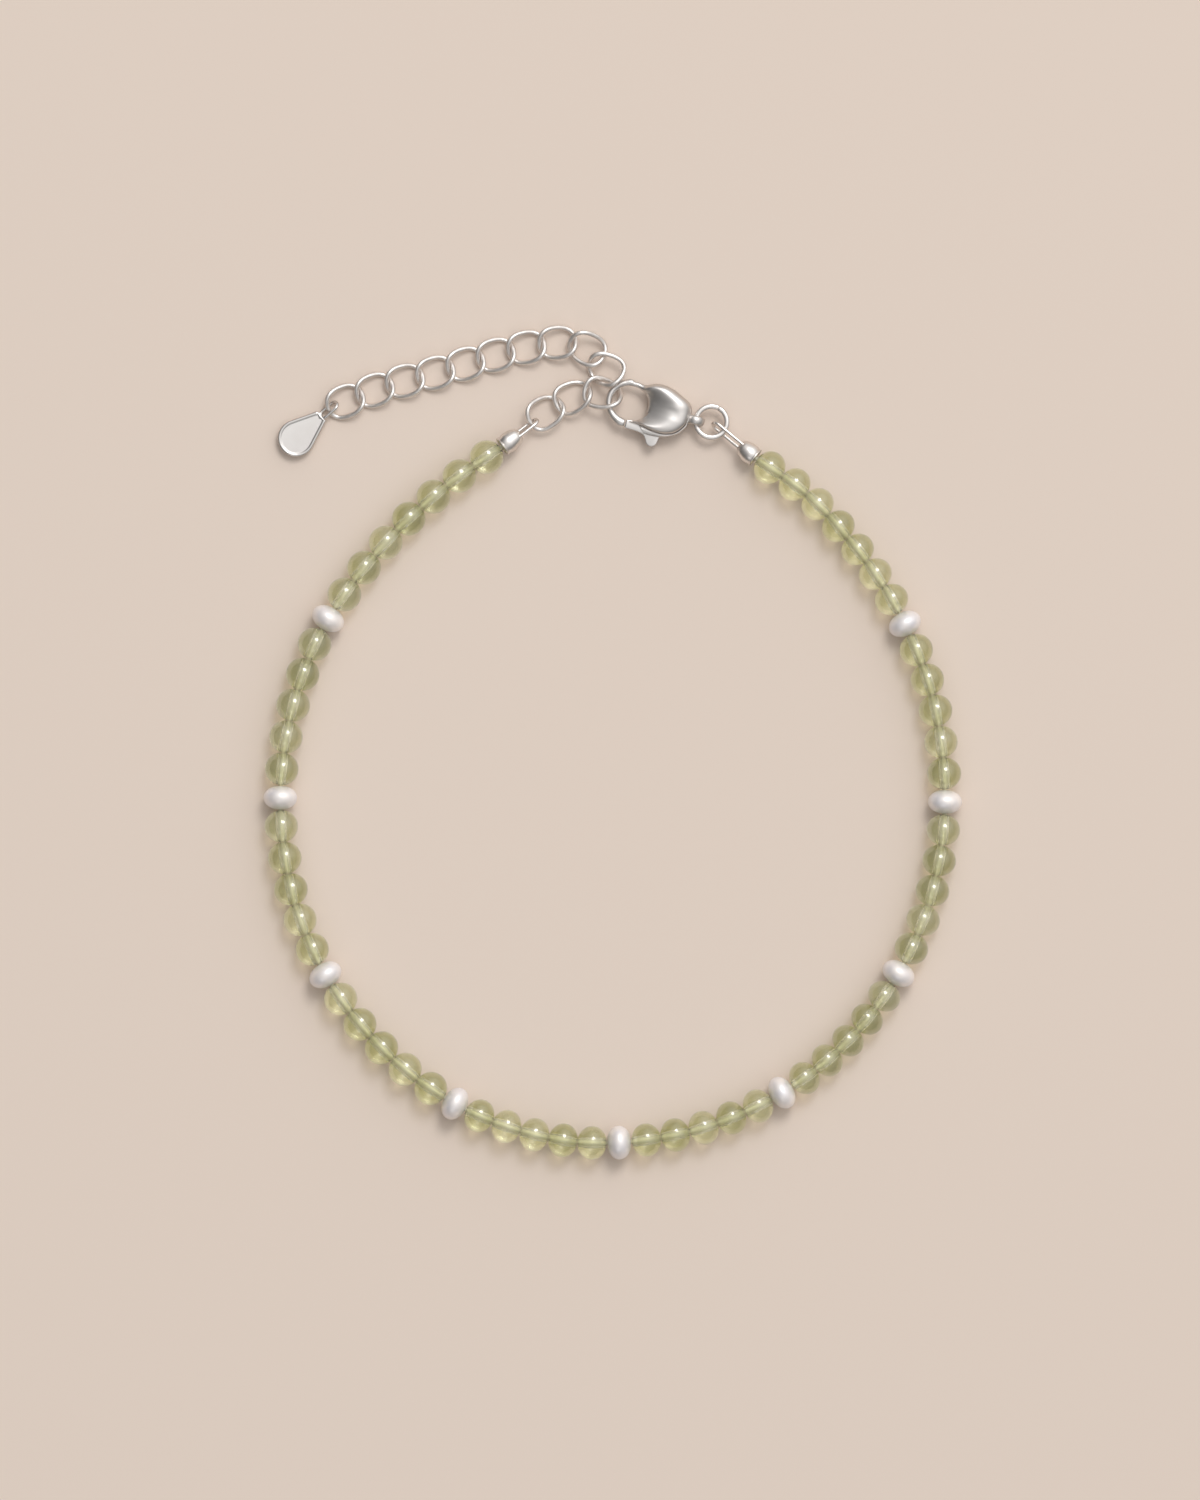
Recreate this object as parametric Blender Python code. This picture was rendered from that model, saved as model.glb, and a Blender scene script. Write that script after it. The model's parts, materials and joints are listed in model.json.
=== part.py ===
"""Bracelet of small glass beads with a pearl between each run, lying closed on a flat surface.

The string's two ends sit in metal caps. One cap's loop holds the extension chain, with a drop tag
on its last link, and the other's holds the jump ring of a lobster clasp. The clasp hooks the
chain's third link. Metres, +Z up; X and Y lie along the surface.
"""

from math import atan2, cos, degrees, hypot, pi, radians, sin, sqrt

import bmesh
import bpy
import numpy as np
from mathutils import Matrix, Vector

MM = 0.001

# Beads, pearls and the thread that they are strung on.
BEAD_DIAMETER = 3.0 * MM
BEAD_LENGTH = 2.7 * MM
PEARL_DIAMETER = 3.0 * MM
PEARL_LENGTH = 2.05 * MM
PEARL_GAP = 0.08 * MM
THREAD_DIAMETER = 0.4 * MM
THREAD_CLEARANCE = 0.18 * MM
THREAD_END_GAP = 0.1 * MM

# Each run between two pearls: how many beads, and their length as a share of BEAD_LENGTH.
BEAD_RUNS = (
    (7, 1.075),
    (5, 1.05),
    (5, 1.035),
    (5, 1.035),
    (5, 0.945),
    (5, 0.95),
    (5, 0.93),
    (5, 1.0),
    (5, 1.03),
    (7, 0.98),
)

# The string's route round the loop, chosen by hand: share of the sweep from the left cap's mouth to
# the right cap's, anticlockwise, and the distance from the middle as a share of the loop's radius.
STRING_ROUTE = (
    (0.0, 1.101),
    (0.02, 1.073),
    (0.045, 1.044),
    (0.07, 1.023),
    (0.10, 1.006),
    (0.14, 0.997),
    (0.19, 0.985),
    (0.24, 0.983),
    (0.29, 0.989),
    (0.34, 0.996),
    (0.39, 1.005),
    (0.44, 1.015),
    (0.49, 1.019),
    (0.54, 1.012),
    (0.59, 1.007),
    (0.64, 1.004),
    (0.69, 0.998),
    (0.74, 0.993),
    (0.79, 0.994),
    (0.84, 1.003),
    (0.88, 1.017),
    (0.91, 1.032),
    (0.94, 1.054),
    (0.97, 1.083),
    (1.0, 1.107),
)

# The caps at the string's ends, and the wire loop soldered to each.
CAP_DIAMETER = 1.7 * MM
CAP_MOUTH_DIAMETER = 1.3 * MM
CAP_BORE_DEPTH = 0.8 * MM
CAP_GAP = 0.15 * MM
LEFT_CAP_LENGTH = 2.0 * MM
RIGHT_CAP_LENGTH = 1.8 * MM
LEFT_CAP_BEARING = 38.0
RIGHT_CAP_BEARING = 140.5
LOOP_WIRE = 0.3 * MM
LOOP_HEIGHT = 1.34 * MM
LEFT_LOOP_LENGTH = 2.06 * MM
RIGHT_LOOP_LENGTH = 3.17 * MM
LEFT_LOOP_SLACK = 0.77 * MM
LEFT_LOOP_SEAT = 190.0
RIGHT_LOOP_SLACK = 1.3 * MM
LOOP_ROLL = 114.0

# The extension chain's curb links.
LINK_WIRE = 0.38 * MM
LINK_LENGTH = 3.64 * MM
LINK_WIDTH = 3.06 * MM
LINK_CLEARANCE = 0.12 * MM

# The lobster clasp. Its own frame has its origin at the middle of the hook's hole and +X to the tail.
CLASP_BEARING = -15.0
CLASP_HOLE = 3.1 * MM
CLASP_REACH = 5.5 * MM
CLASP_THICKNESS = 2.3 * MM
HOOK_WIRE = 0.56 * MM
CLASP_REST_GAP = 0.02 * MM
EYE_WIRE = 0.44 * MM
EYE_DIAMETER = 1.6 * MM
EYE_OVERLAP = 0.35 * MM
SLOT_WIDTH = 0.72 * MM
SLOT_BEYOND_PIVOT = 3.0
SLOT_ABOVE_PIVOT = 2.2
PIVOT_ALONG = 2.73 * MM
PIVOT_BELOW = 1.74 * MM
PIVOT = Vector((PIVOT_ALONG, -PIVOT_BELOW, 0.0))
PIN_DIAMETER = 0.5 * MM
PIN_CLEARANCE = 0.1 * MM
LEVER_THICKNESS = 0.5 * MM
LEVER_ARM_WIDTH = 0.75 * MM
LEVER_TIP_GAP = 0.14 * MM
LEVER_BOSS_WALL = 0.25 * MM
TAB_DIAMETER = 1.05 * MM
TAB_REACH = 1.5 * MM
TAB_BEARING = 266.0

# Sections of the clasp, by bearing from the middle of the hole: the hole's radius as a share of
# CLASP_HOLE / 2, the outer radius as a share of CLASP_REACH, the thickness as a share of its own.
BELLY_SECTIONS = (
    (-52.0, 1.03, 0.540, 0.62),
    (-40.0, 1.04, 0.660, 0.86),
    (-28.0, 1.05, 0.805, 0.98),
    (-18.0, 1.05, 0.915, 1.00),
    (-8.0, 1.05, 0.985, 1.00),
    (2.0, 1.05, 1.000, 1.00),
    (11.0, 1.05, 0.985, 1.00),
    (24.0, 1.05, 0.815, 0.99),
    (40.0, 1.02, 0.640, 0.90),
    (52.0, 0.99, 0.490, 0.68),
)

# The same for the hook, whose wall and thickness are shares of HOOK_WIRE.
HOOK_SECTIONS = (
    (64.0, 0.96, 1.30, 1.70),
    (78.0, 0.95, 1.05, 1.20),
    (96.0, 0.95, 1.00, 1.00),
    (116.0, 0.97, 1.00, 1.00),
    (136.0, 1.00, 1.00, 1.00),
    (156.0, 1.02, 0.98, 1.00),
    (178.0, 1.03, 0.98, 1.00),
    (200.0, 1.02, 1.00, 1.00),
    (220.0, 0.99, 1.05, 1.00),
    (240.0, 0.96, 1.20, 1.05),
    (256.0, 0.95, 1.35, 1.10),
    (268.0, 0.97, 1.20, 0.95),
)

# The jump ring between the clasp's eye and the right cap's loop.
RING_WIRE = 0.48 * MM
RING_DIAMETER = 3.2 * MM
RING_BEARING = -5.0
RING_CLEARANCE = 0.1 * MM

# How the chain lies. The hooked link's far tip is given from the middle of the clasp's hole, as
# shares of half the hole. A link's height is a share of the way from flat on the surface up to the
# clasp's hook, and its bearing, pitch and roll are in degrees.
HOOKED_TIP = (-0.516, 0.338)
HOOKED_LINK = (-11.5, 0.95, -4.5, -18.0)
TO_CAP = (
    (26.0, 0.52, 3.0, -16.5),
    (32.0, 0.61, -8.5, -10.0),
)

# The two links that hang askew beside the hook: from the middle of the link before, as shares of
# the link's length, then bearing, height, pitch and roll as above.
ASKEW_LINKS = (
    (0.081, 0.568, 159.5, 0.95, -20.0, -6.5),
    (-0.456, 0.509, 152.0, 0.61, 1.5, -8.5),
)

# The rest of the chain, as far as the drop tag.
TAIL = (
    (185.5, 0.29, -0.5, 0.0),
    (192.0, 0.10, -1.5, 0.0),
    (195.5, 0.03, 0.0, 0.0),
    (197.5, 0.03, 0.0, 0.0),
    (195.5, 0.03, 0.0, 0.0),
    (194.0, 0.03, 0.0, 0.0),
    (200.0, 0.03, 0.0, 0.0),
    (202.0, 0.03, 0.0, 0.0),
)

# The drop tag, a flat teardrop with its eye.
TAG_LENGTH = 4.6 * MM
TAG_WIDTH = 3.25 * MM
TAG_THICKNESS = 0.9 * MM
TAG_EDGE = 0.25 * MM
TAG_NECK = 1.15 * MM
TAG_BEARING = 221.0
TAG_EYE_SEAT = 7.0
TAG_EYE_WIRE = 0.3 * MM
TAG_EYE_LENGTH = 1.87 * MM
TAG_EYE_HEIGHT = 1.18 * MM
TAG_EYE_ROLL = 132.0
TAG_EYE_RISE = 0.5
TAG_EYE_OVERLAP = 0.3 * MM
TAG_EYE_SLACK = 0.57 * MM

# Sides and steps of the round pieces.
BEAD_SIDES = 12
BEAD_RING_ANGLES = (35.0, 62.0, 90.0, 118.0, 145.0)
PEARL_SIDES = 12
PEARL_RINGS = 8
WIRE_SIDES = 6
LINK_STEPS = 16
LOOP_STEPS = 16
RING_STEPS = 20
CAP_SIDES = 12
CLASP_SIDES = 10
HOLE_SIDES = 12
TAG_STEPS = 17
ROUTE_STEPS = 24
CURB_TWIST = 0.84

GLASS = ("green_glass", (0.36, 0.36, 0.19), 0.15, 0.0)
PEARL = ("pearl", (0.72, 0.66, 0.65), 0.22, 0.0)
SILVER = ("silver", (0.78, 0.76, 0.74), 0.22, 1.0)
SATIN_SILVER = ("satin_silver", (0.74, 0.73, 0.72), 0.38, 1.0)


def turn(bearing, pitch=0.0, roll=0.0):
    """Turns a piece's own X to this bearing and pitch, after a roll about that X, in degrees."""
    about_z = Matrix.Rotation(radians(bearing), 4, "Z")
    about_y = Matrix.Rotation(-radians(pitch), 4, "Y")
    return about_z @ about_y @ Matrix.Rotation(radians(roll), 4, "X")


def level(bearing):
    """The horizontal direction of a bearing."""
    return Vector((cos(radians(bearing)), sin(radians(bearing)), 0.0))


def material(look):
    name, colour, roughness, metallic = look
    made = bpy.data.materials.get(name)
    if made is None:
        made = bpy.data.materials.new(name)
        made.use_nodes = True
        shader = made.node_tree.nodes["Principled BSDF"]
        shader.inputs["Base Color"].default_value = (*colour, 1.0)
        shader.inputs["Roughness"].default_value = roughness
        shader.inputs["Metallic"].default_value = metallic
    return made


def skin(name, rings, closed=False, poles=(None, None)):
    """A closed mesh through rings of equally many points. An open end is filled, or runs to its pole."""
    shape = bmesh.new()
    loops = [[shape.verts.new(point) for point in ring] for ring in rings]
    pairs = list(zip(loops, loops[1:]))
    if closed:
        pairs.append((loops[-1], loops[0]))
    for one, other in pairs:
        for k in range(len(one)):
            following = (k + 1) % len(one)
            shape.faces.new((one[k], one[following], other[following], other[k]))
    if not closed:
        for loop, pole in ((loops[0], poles[0]), (loops[-1], poles[1])):
            if pole is None:
                shape.faces.new(loop)
                continue
            tip = shape.verts.new(pole)
            for k in range(len(loop)):
                shape.faces.new((loop[k], loop[(k + 1) % len(loop)], tip))
    bmesh.ops.recalc_face_normals(shape, faces=shape.faces)
    mesh = bpy.data.meshes.new(name)
    shape.to_mesh(mesh)
    shape.free()
    mesh.shade_smooth()
    mesh.set_sharp_from_angle(angle=radians(50))
    return mesh


def piece(name, mesh, look, place, parent):
    """An object of this mesh at its place under the parent. Its mesh may be shared."""
    if not mesh.materials:
        mesh.materials.append(material(look))
    made = bpy.data.objects.new(name, mesh)
    bpy.context.scene.collection.objects.link(made)
    made.parent = parent
    made.matrix_local = place
    return made


def helper(name, mesh, place, parent):
    """An object that only cuts or joins."""
    made = piece(name, mesh, SILVER, place, parent)
    made.hide_render = True
    made.display_type = "WIRE"
    return made


def boolean(target, tool, operation):
    modifier = target.modifiers.new(f"{operation.lower()}_{tool.name}", "BOOLEAN")
    modifier.operation = operation
    modifier.solver = "EXACT"
    modifier.object = tool


def ring_points(centre, across, up, radius, sides):
    """A round ring about the centre, in the plane of two unit directions."""
    points = []
    for k in range(sides):
        angle = 2 * pi * k / sides
        points.append(centre + radius * (cos(angle) * across + sin(angle) * up))
    return points


def wire_loop(name, path, diameter, sides=WIRE_SIDES):
    """A wire of this diameter along a closed path that runs round +Z."""
    rings = []
    for k, point in enumerate(path):
        tangent = (path[(k + 1) % len(path)] - path[k - 1]).normalized()
        across = tangent.cross(Vector((0, 0, 1))).normalized()
        rings.append(ring_points(point, across, across.cross(tangent), diameter / 2, sides))
    return skin(name, rings, closed=True)


def oval(length, width, steps, twist=0.0):
    """Points of a closed oval in the XY plane, its sides lifted and lowered by the twist."""
    angles = [2 * pi * k / steps for k in range(steps)]
    return [Vector((length / 2 * cos(a), width / 2 * sin(a), -twist * sin(2 * a))) for a in angles]


def stadium(length, width, steps):
    """Points of a closed loop with round ends and straight sides, from its far end at the origin."""
    half = steps // 2
    far, near = -width / 2, width / 2 - length
    points = []
    for k in range(half):
        angle = -pi / 2 + pi * k / (half - 1)
        points.append(Vector((far + width / 2 * cos(angle), width / 2 * sin(angle), 0)))
    for k in range(half):
        angle = pi / 2 + pi * k / (half - 1)
        points.append(Vector((near + width / 2 * cos(angle), width / 2 * sin(angle), 0)))
    return points


def turned(name, profile, sides):
    """A solid turned about X from (x, radius) pairs that start and end on the axis."""
    across, up = Vector((0, 1, 0)), Vector((0, 0, 1))
    rings = [ring_points(Vector((x, 0, 0)), across, up, r, sides) for x, r in profile[1:-1]]
    poles = (Vector((profile[0][0], 0, 0)), Vector((profile[-1][0], 0, 0)))
    return skin(name, rings, poles=poles)


def plate(name, outline, thickness):
    """A flat piece of this outline, centred on the XY plane."""
    low = [Vector((p.x, p.y, -thickness / 2)) for p in outline]
    high = [Vector((p.x, p.y, thickness / 2)) for p in outline]
    return skin(name, [low, high])


def rod(name, centre, diameter, length, sides=HOLE_SIDES):
    """A round rod along Z."""
    across, up = Vector((1, 0, 0)), Vector((0, 1, 0))
    ends = [centre + Vector((0, 0, side * length / 2)) for side in (-1, 1)]
    return skin(name, [ring_points(end, across, up, diameter / 2, sides) for end in ends])


class Link:
    """Where one chain link lies. Its half length and half width run along the wire's middle."""

    half_length = (LINK_LENGTH - LINK_WIRE) / 2
    half_width = (LINK_WIDTH - LINK_WIRE) / 2
    twist = CURB_TWIST * (LINK_WIRE + LINK_CLEARANCE)
    flat_height = twist + LINK_WIRE / 2

    def __init__(self, lay, centre):
        self.bearing, rise, pitch, roll = lay
        height = self.flat_height + rise * (clasp_height() - self.flat_height)
        self.centre = Vector((centre.x, centre.y, height))
        self.place = Matrix.Translation(self.centre) @ turn(self.bearing, pitch, roll)

    @classmethod
    def after(cls, link, lay, way):
        """The link that hangs on the far tip of the one before it, way +1, or on its near tip, -1."""
        step = cls.half_length - (LINK_WIRE + LINK_CLEARANCE) / 2
        return cls(lay, link.centre + way * step * (level(link.bearing) + level(lay[0])))

    def wire_at(self, angle):
        """A point of the wire's middle, by its angle round the link."""
        a = radians(angle)
        own = Vector((self.half_length * cos(a), self.half_width * sin(a), -self.twist * sin(2 * a)))
        return self.place @ own


def clasp_height():
    return CLASP_THICKNESS / 2 + CLASP_REST_GAP


def clasp_place():
    return Matrix.Translation((0, 0, clasp_height())) @ turn(CLASP_BEARING)


def lay_chain():
    """The chain's links, from the one on the left cap's loop to the one that holds the drop tag."""
    tip = Vector(HOOKED_TIP) * CLASP_HOLE / 2
    centre = tip.to_3d() - Link.half_length * level(HOOKED_LINK[0])
    hooked = Link(HOOKED_LINK, centre)
    to_cap = [hooked]
    for lay in TO_CAP:
        to_cap.append(Link.after(to_cap[-1], lay, -1))
    links = to_cap[::-1]
    for x, y, *lay in ASKEW_LINKS:
        links.append(Link(lay, links[-1].centre + Vector((x, y, 0)) * LINK_LENGTH))
    for lay in TAIL:
        links.append(Link.after(links[-1], lay, 1))
    return links


def make_chain(links, parent):
    path = oval(2 * Link.half_length, 2 * Link.half_width, LINK_STEPS, Link.twist)
    mesh = wire_loop("curb_link", path, LINK_WIRE)
    for number, link in enumerate(links, 1):
        piece(f"chain_link_{number:02d}", mesh, SILVER, link.place, parent)


def clasp_section(bearing, inner, outer, thickness):
    """One rounded section of the clasp, square to its bearing from the middle of the hole."""
    out = level(bearing)
    middle, half = (inner + outer) / 2, (outer - inner) / 2
    points = []
    for k in range(CLASP_SIDES):
        angle = 2 * pi * k / CLASP_SIDES
        rise = Vector((0, 0, thickness / 2 * sin(angle)))
        points.append((middle + half * cos(angle)) * out + rise)
    return points


def clasp_sections():
    hole = CLASP_HOLE / 2
    sections = []
    for bearing, inner, outer, thickness in BELLY_SECTIONS:
        sections.append((bearing, inner * hole, outer * CLASP_REACH, thickness * CLASP_THICKNESS))
    for bearing, inner, wall, thickness in HOOK_SECTIONS:
        edge = inner * hole
        sections.append((bearing, edge, edge + wall * HOOK_WIRE, thickness * HOOK_WIRE))
    return sections


def nose_end():
    """Bearing, middle radius and width of the hook's nose."""
    bearing, inner, outer, _ = clasp_sections()[-1]
    return bearing, (inner + outer) / 2, outer - inner


def eye_centre():
    return Vector((CLASP_REACH - EYE_OVERLAP + EYE_DIAMETER / 2, 0, 0))


def make_clasp_body(parent):
    """The hook and belly, cut by the lever's slot, with the rivet pin and the eye joined to it."""
    rings = [clasp_section(*section) for section in clasp_sections()]
    body = piece("clasp_body", skin("clasp_body", rings), SATIN_SILVER, clasp_place(), parent)
    eye_path = oval(EYE_DIAMETER - EYE_WIRE, EYE_DIAMETER - EYE_WIRE, LOOP_STEPS)
    eye_place = clasp_place() @ Matrix.Translation(eye_centre()) @ turn(0, roll=90)
    eye = helper("clasp_eye", wire_loop("clasp_eye", eye_path, EYE_WIRE), eye_place, parent)
    boolean(body, eye, "UNION")
    boss = LEVER_BOSS_WALL + PIN_DIAMETER / 2 + PIN_CLEARANCE
    right = PIVOT.x + SLOT_BEYOND_PIVOT * boss
    top = PIVOT.y + SLOT_ABOVE_PIVOT * boss
    left, bottom = 0.0, PIVOT.y - CLASP_REACH
    corners = [Vector(c) for c in ((left, bottom), (right, bottom), (right, top), (left, top))]
    slot = helper("slot_cutter", plate("slot_cutter", corners, SLOT_WIDTH), clasp_place(), parent)
    boolean(body, slot, "DIFFERENCE")
    pin_length = SLOT_WIDTH + 0.5 * (CLASP_THICKNESS - SLOT_WIDTH)
    pin_mesh = rod("rivet_pin", PIVOT, PIN_DIAMETER, pin_length)
    boolean(body, helper("rivet_pin", pin_mesh, clasp_place(), parent), "UNION")
    return body


def arc(centre, radius, start, end, steps):
    """Points of an arc in the XY plane, from one bearing to another."""
    bearings = np.linspace(start, end, steps)
    return [centre + radius * level(bearing) for bearing in bearings]


def make_clasp_lever(parent):
    """The sprung lever: an arm from the pin to the hook's nose, and a thumb tab."""
    nose_bearing, nose_radius, nose_width = nose_end()
    nose = nose_radius * level(nose_bearing)
    tip = Vector((nose.x + LEVER_TIP_GAP + 0.1 * nose_width, nose.y, 0))
    boss = PIN_DIAMETER / 2 + PIN_CLEARANCE + LEVER_BOSS_WALL
    tab_tip = PIVOT + (TAB_REACH - TAB_DIAMETER / 2) * level(TAB_BEARING)
    half_arm = LEVER_ARM_WIDTH / 2
    outline = [tip + Vector((0.3 * half_arm, half_arm, 0)), tip + Vector((0, 0.4 * half_arm, 0))]
    outline += [tip + Vector((0, -0.5 * half_arm, 0)), tip + Vector((0.3 * half_arm, -half_arm, 0))]
    outline.append(tip.lerp(PIVOT, 0.62) + Vector((0, -1.3 * half_arm, 0)))
    outline += arc(tab_tip, TAB_DIAMETER / 2, 190, 350, 7)
    outline += arc(PIVOT, boss, -10, 100, 5)
    outline.append(tip.lerp(PIVOT, 0.5) + Vector((0, 1.15 * half_arm, 0)))
    pivot_place = clasp_place() @ Matrix.Translation(PIVOT)
    own = [point - PIVOT for point in outline]
    mesh = plate("clasp_lever", own, LEVER_THICKNESS)
    lever = piece("clasp_lever", mesh, SILVER, pivot_place, parent)
    hole_diameter = PIN_DIAMETER + 2 * PIN_CLEARANCE
    hole = rod("pin_hole", Vector((0, 0, 0)), hole_diameter, 2 * LEVER_THICKNESS)
    boolean(lever, helper("pin_hole", hole, pivot_place, parent), "DIFFERENCE")
    return lever


def ring_centre():
    """The jump ring's middle: its wire passes through the clasp's eye, against the far side."""
    hole = EYE_DIAMETER / 2 - EYE_WIRE - RING_WIRE / 2 - RING_CLEARANCE
    seat = clasp_place() @ (eye_centre() + Vector((hole, 0, 0)))
    return seat + (RING_DIAMETER - RING_WIRE) / 2 * level(RING_BEARING)


def make_jump_ring(parent):
    path = oval(RING_DIAMETER - RING_WIRE, RING_DIAMETER - RING_WIRE, RING_STEPS)
    mesh = wire_loop("jump_ring", path, RING_WIRE)
    return piece("jump_ring", mesh, SILVER, Matrix.Translation(ring_centre()), parent)


class Cap:
    """One end cap, whose loop hangs on a wire. Its X runs from the beads to the loop's far end."""

    def __init__(self, side, wire_point, bearing, length, loop_length, slack):
        self.name = f"end_cap_{side}"
        self.length = length
        self.loop_length = loop_length
        reach = length + loop_length - slack
        rise = wire_point.z - string_height()
        run = sqrt(reach**2 - rise**2)
        self.mouth = wire_point - run * level(bearing) - Vector((0, 0, rise))
        self.place = Matrix.Translation(self.mouth) @ turn(bearing, degrees(atan2(rise, run)))

    def make(self, parent):
        bore = THREAD_DIAMETER / 2 + THREAD_CLEARANCE
        outer, mouth, end = CAP_DIAMETER / 2, CAP_MOUTH_DIAMETER / 2, self.length
        profile = [(end, 0), (end, 0.35 * outer), (end - 0.12 * outer, 0.72 * outer)]
        profile += [(end - 0.45 * outer, outer), (0.45 * outer, outer)]
        profile += [(0.1 * outer, (outer + mouth) / 2), (0, mouth), (0, bore)]
        profile += [(CAP_BORE_DEPTH, bore), (CAP_BORE_DEPTH, 0)]
        cap = piece(self.name, turned(self.name, profile, CAP_SIDES), SILVER, self.place, parent)
        path = stadium(self.loop_length + 0.3 * self.length, LOOP_HEIGHT - LOOP_WIRE, LOOP_STEPS)
        mesh = wire_loop(f"{self.name}_loop", path, LOOP_WIRE)
        far = Matrix.Translation((end + self.loop_length - LOOP_WIRE / 2, 0, 0))
        loop_place = self.place @ far @ turn(0, roll=LOOP_ROLL)
        loop = helper(f"{self.name}_loop", mesh, loop_place, parent)
        boolean(cap, loop, "UNION")
        return cap


def string_height():
    return max(BEAD_DIAMETER, PEARL_DIAMETER) / 2


def make_caps(links, parent):
    seat = links[0].wire_at(LEFT_LOOP_SEAT)
    left_sizes = (LEFT_CAP_LENGTH, LEFT_LOOP_LENGTH, LEFT_LOOP_SLACK)
    left = Cap("left", seat, LEFT_CAP_BEARING, *left_sizes)
    away = -level(RIGHT_CAP_BEARING)
    ring_wire = ring_centre() + (RING_DIAMETER - RING_WIRE) / 2 * away
    right_sizes = (RIGHT_CAP_LENGTH, RIGHT_LOOP_LENGTH, RIGHT_LOOP_SLACK)
    right = Cap("right", ring_wire, RIGHT_CAP_BEARING, *right_sizes)
    left.make(parent)
    right.make(parent)
    return left, right


def smooth_curve(points):
    """A Catmull-Rom curve through the points, as an array with ROUTE_STEPS to each span."""
    ends = [2 * points[0] - points[1], *points, 2 * points[-1] - points[-2]]
    share = np.linspace(0, 1, ROUTE_STEPS, endpoint=False)[:, None]
    spans = []
    for a, b, c, d in zip(ends, ends[1:], ends[2:], ends[3:]):
        bend = (2 * a - 5 * b + 4 * c - d) * share**2 + (3 * b - a - 3 * c + d) * share**3
        spans.append(b + 0.5 * ((c - a) * share + bend))
    return np.vstack([*spans, points[-1][None]])


def distances(curve):
    """How far along the curve each of its points lies."""
    steps = np.linalg.norm(np.diff(curve, axis=0), axis=1)
    return np.concatenate([[0], np.cumsum(steps)])


def route_of_radius(start, end, radius):
    """The route between two points of the plane, for a loop of this radius on their lower side."""
    first, last = STRING_ROUTE[0][1] * radius, STRING_ROUTE[-1][1] * radius
    gap = end - start
    span = hypot(*gap)
    along = gap / span
    share = (first**2 - last**2 + span**2) / (2 * span)
    below = np.array([along[1], -along[0]])
    middle = start + share * along + sqrt(first**2 - share**2) * below
    begin = atan2(*(start - middle)[::-1])
    sweep = (atan2(*(end - middle)[::-1]) - begin) % (2 * pi)
    points = []
    for part, distance in STRING_ROUTE:
        angle = begin + part * sweep
        points.append(middle + distance * radius * np.array([cos(angle), sin(angle)]))
    return smooth_curve(points)


def string_route(start, end, length):
    """The route of this length between two points, found by halving the range of the loop's radius."""
    small, large = hypot(*(end - start)), length
    for _ in range(40):
        radius = (small + large) / 2
        curve = route_of_radius(start, end, radius)
        if distances(curve)[-1] > length:
            large = radius
        else:
            small = radius
    return curve


class Route:
    """The thread's line, read by the distance along it."""

    def __init__(self, curve):
        self.curve = curve
        self.along = distances(curve)
        self.height = string_height()

    def at(self, distance):
        """The point at this distance. Past either end the line runs straight on."""
        inside = min(max(distance, 0), self.along[-1])
        x, y = (np.interp(inside, self.along, self.curve[:, k]) for k in (0, 1))
        point = Vector((x, y, self.height))
        if distance != inside:
            a, b = (0, 1) if distance < 0 else (-2, -1)
            ahead = self.curve[b] - self.curve[a]
            point += Vector((*ahead, 0)).normalized() * (distance - inside)
        return point

    def bearing(self, distance):
        step = 0.2 * BEAD_LENGTH
        ahead = self.at(distance + step) - self.at(distance - step)
        return degrees(atan2(ahead.y, ahead.x))


def string_length():
    beads = sum(count * share for count, share in BEAD_RUNS) * BEAD_LENGTH
    return beads + (len(BEAD_RUNS) - 1) * (PEARL_LENGTH + 2 * PEARL_GAP)


def string_stations(start):
    """(distance, radius) of every ring along beads and thread, and the pearls' own distances."""
    thread = THREAD_DIAMETER / 2
    stations, pearls = [], []
    here = start
    for run, (count, share) in enumerate(BEAD_RUNS):
        if run:
            pearls.append(here + PEARL_GAP + PEARL_LENGTH / 2)
            here += PEARL_LENGTH + 2 * PEARL_GAP
        stations.append((here, thread))
        length = share * BEAD_LENGTH
        for _ in range(count):
            middle = here + length / 2
            for angle in BEAD_RING_ANGLES:
                x = -cos(radians(angle)) * length / 2
                stations.append((middle + x, sin(radians(angle)) * BEAD_DIAMETER / 2))
            here += length
            stations.append((here, thread))
    return stations, pearls


def make_string(side, stations, route, parent):
    """Beads and thread as one body: the glass grips the thread that it is strung on."""
    rings = []
    for distance, radius in stations:
        across = level(route.bearing(distance) + 90)
        rings.append(ring_points(route.at(distance), across, Vector((0, 0, 1)), radius, BEAD_SIDES))
    name = f"bead_string_{side}"
    return piece(name, skin(name, rings), GLASS, Matrix(), parent)


def pearl_mesh():
    """A drilled pearl, its hole along X."""
    hole = THREAD_DIAMETER / 2 + THREAD_CLEARANCE
    half, radius = PEARL_LENGTH / 2, PEARL_DIAMETER / 2
    edge = np.arcsin(hole / radius)
    rings = []
    for angle in np.linspace(edge, pi - edge, PEARL_RINGS):
        centre = Vector((-half * cos(angle) / cos(edge), 0, 0))
        size = radius * sin(angle)
        rings.append(ring_points(centre, Vector((0, 1, 0)), Vector((0, 0, 1)), size, PEARL_SIDES))
    return skin("pearl", rings, closed=True)


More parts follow.
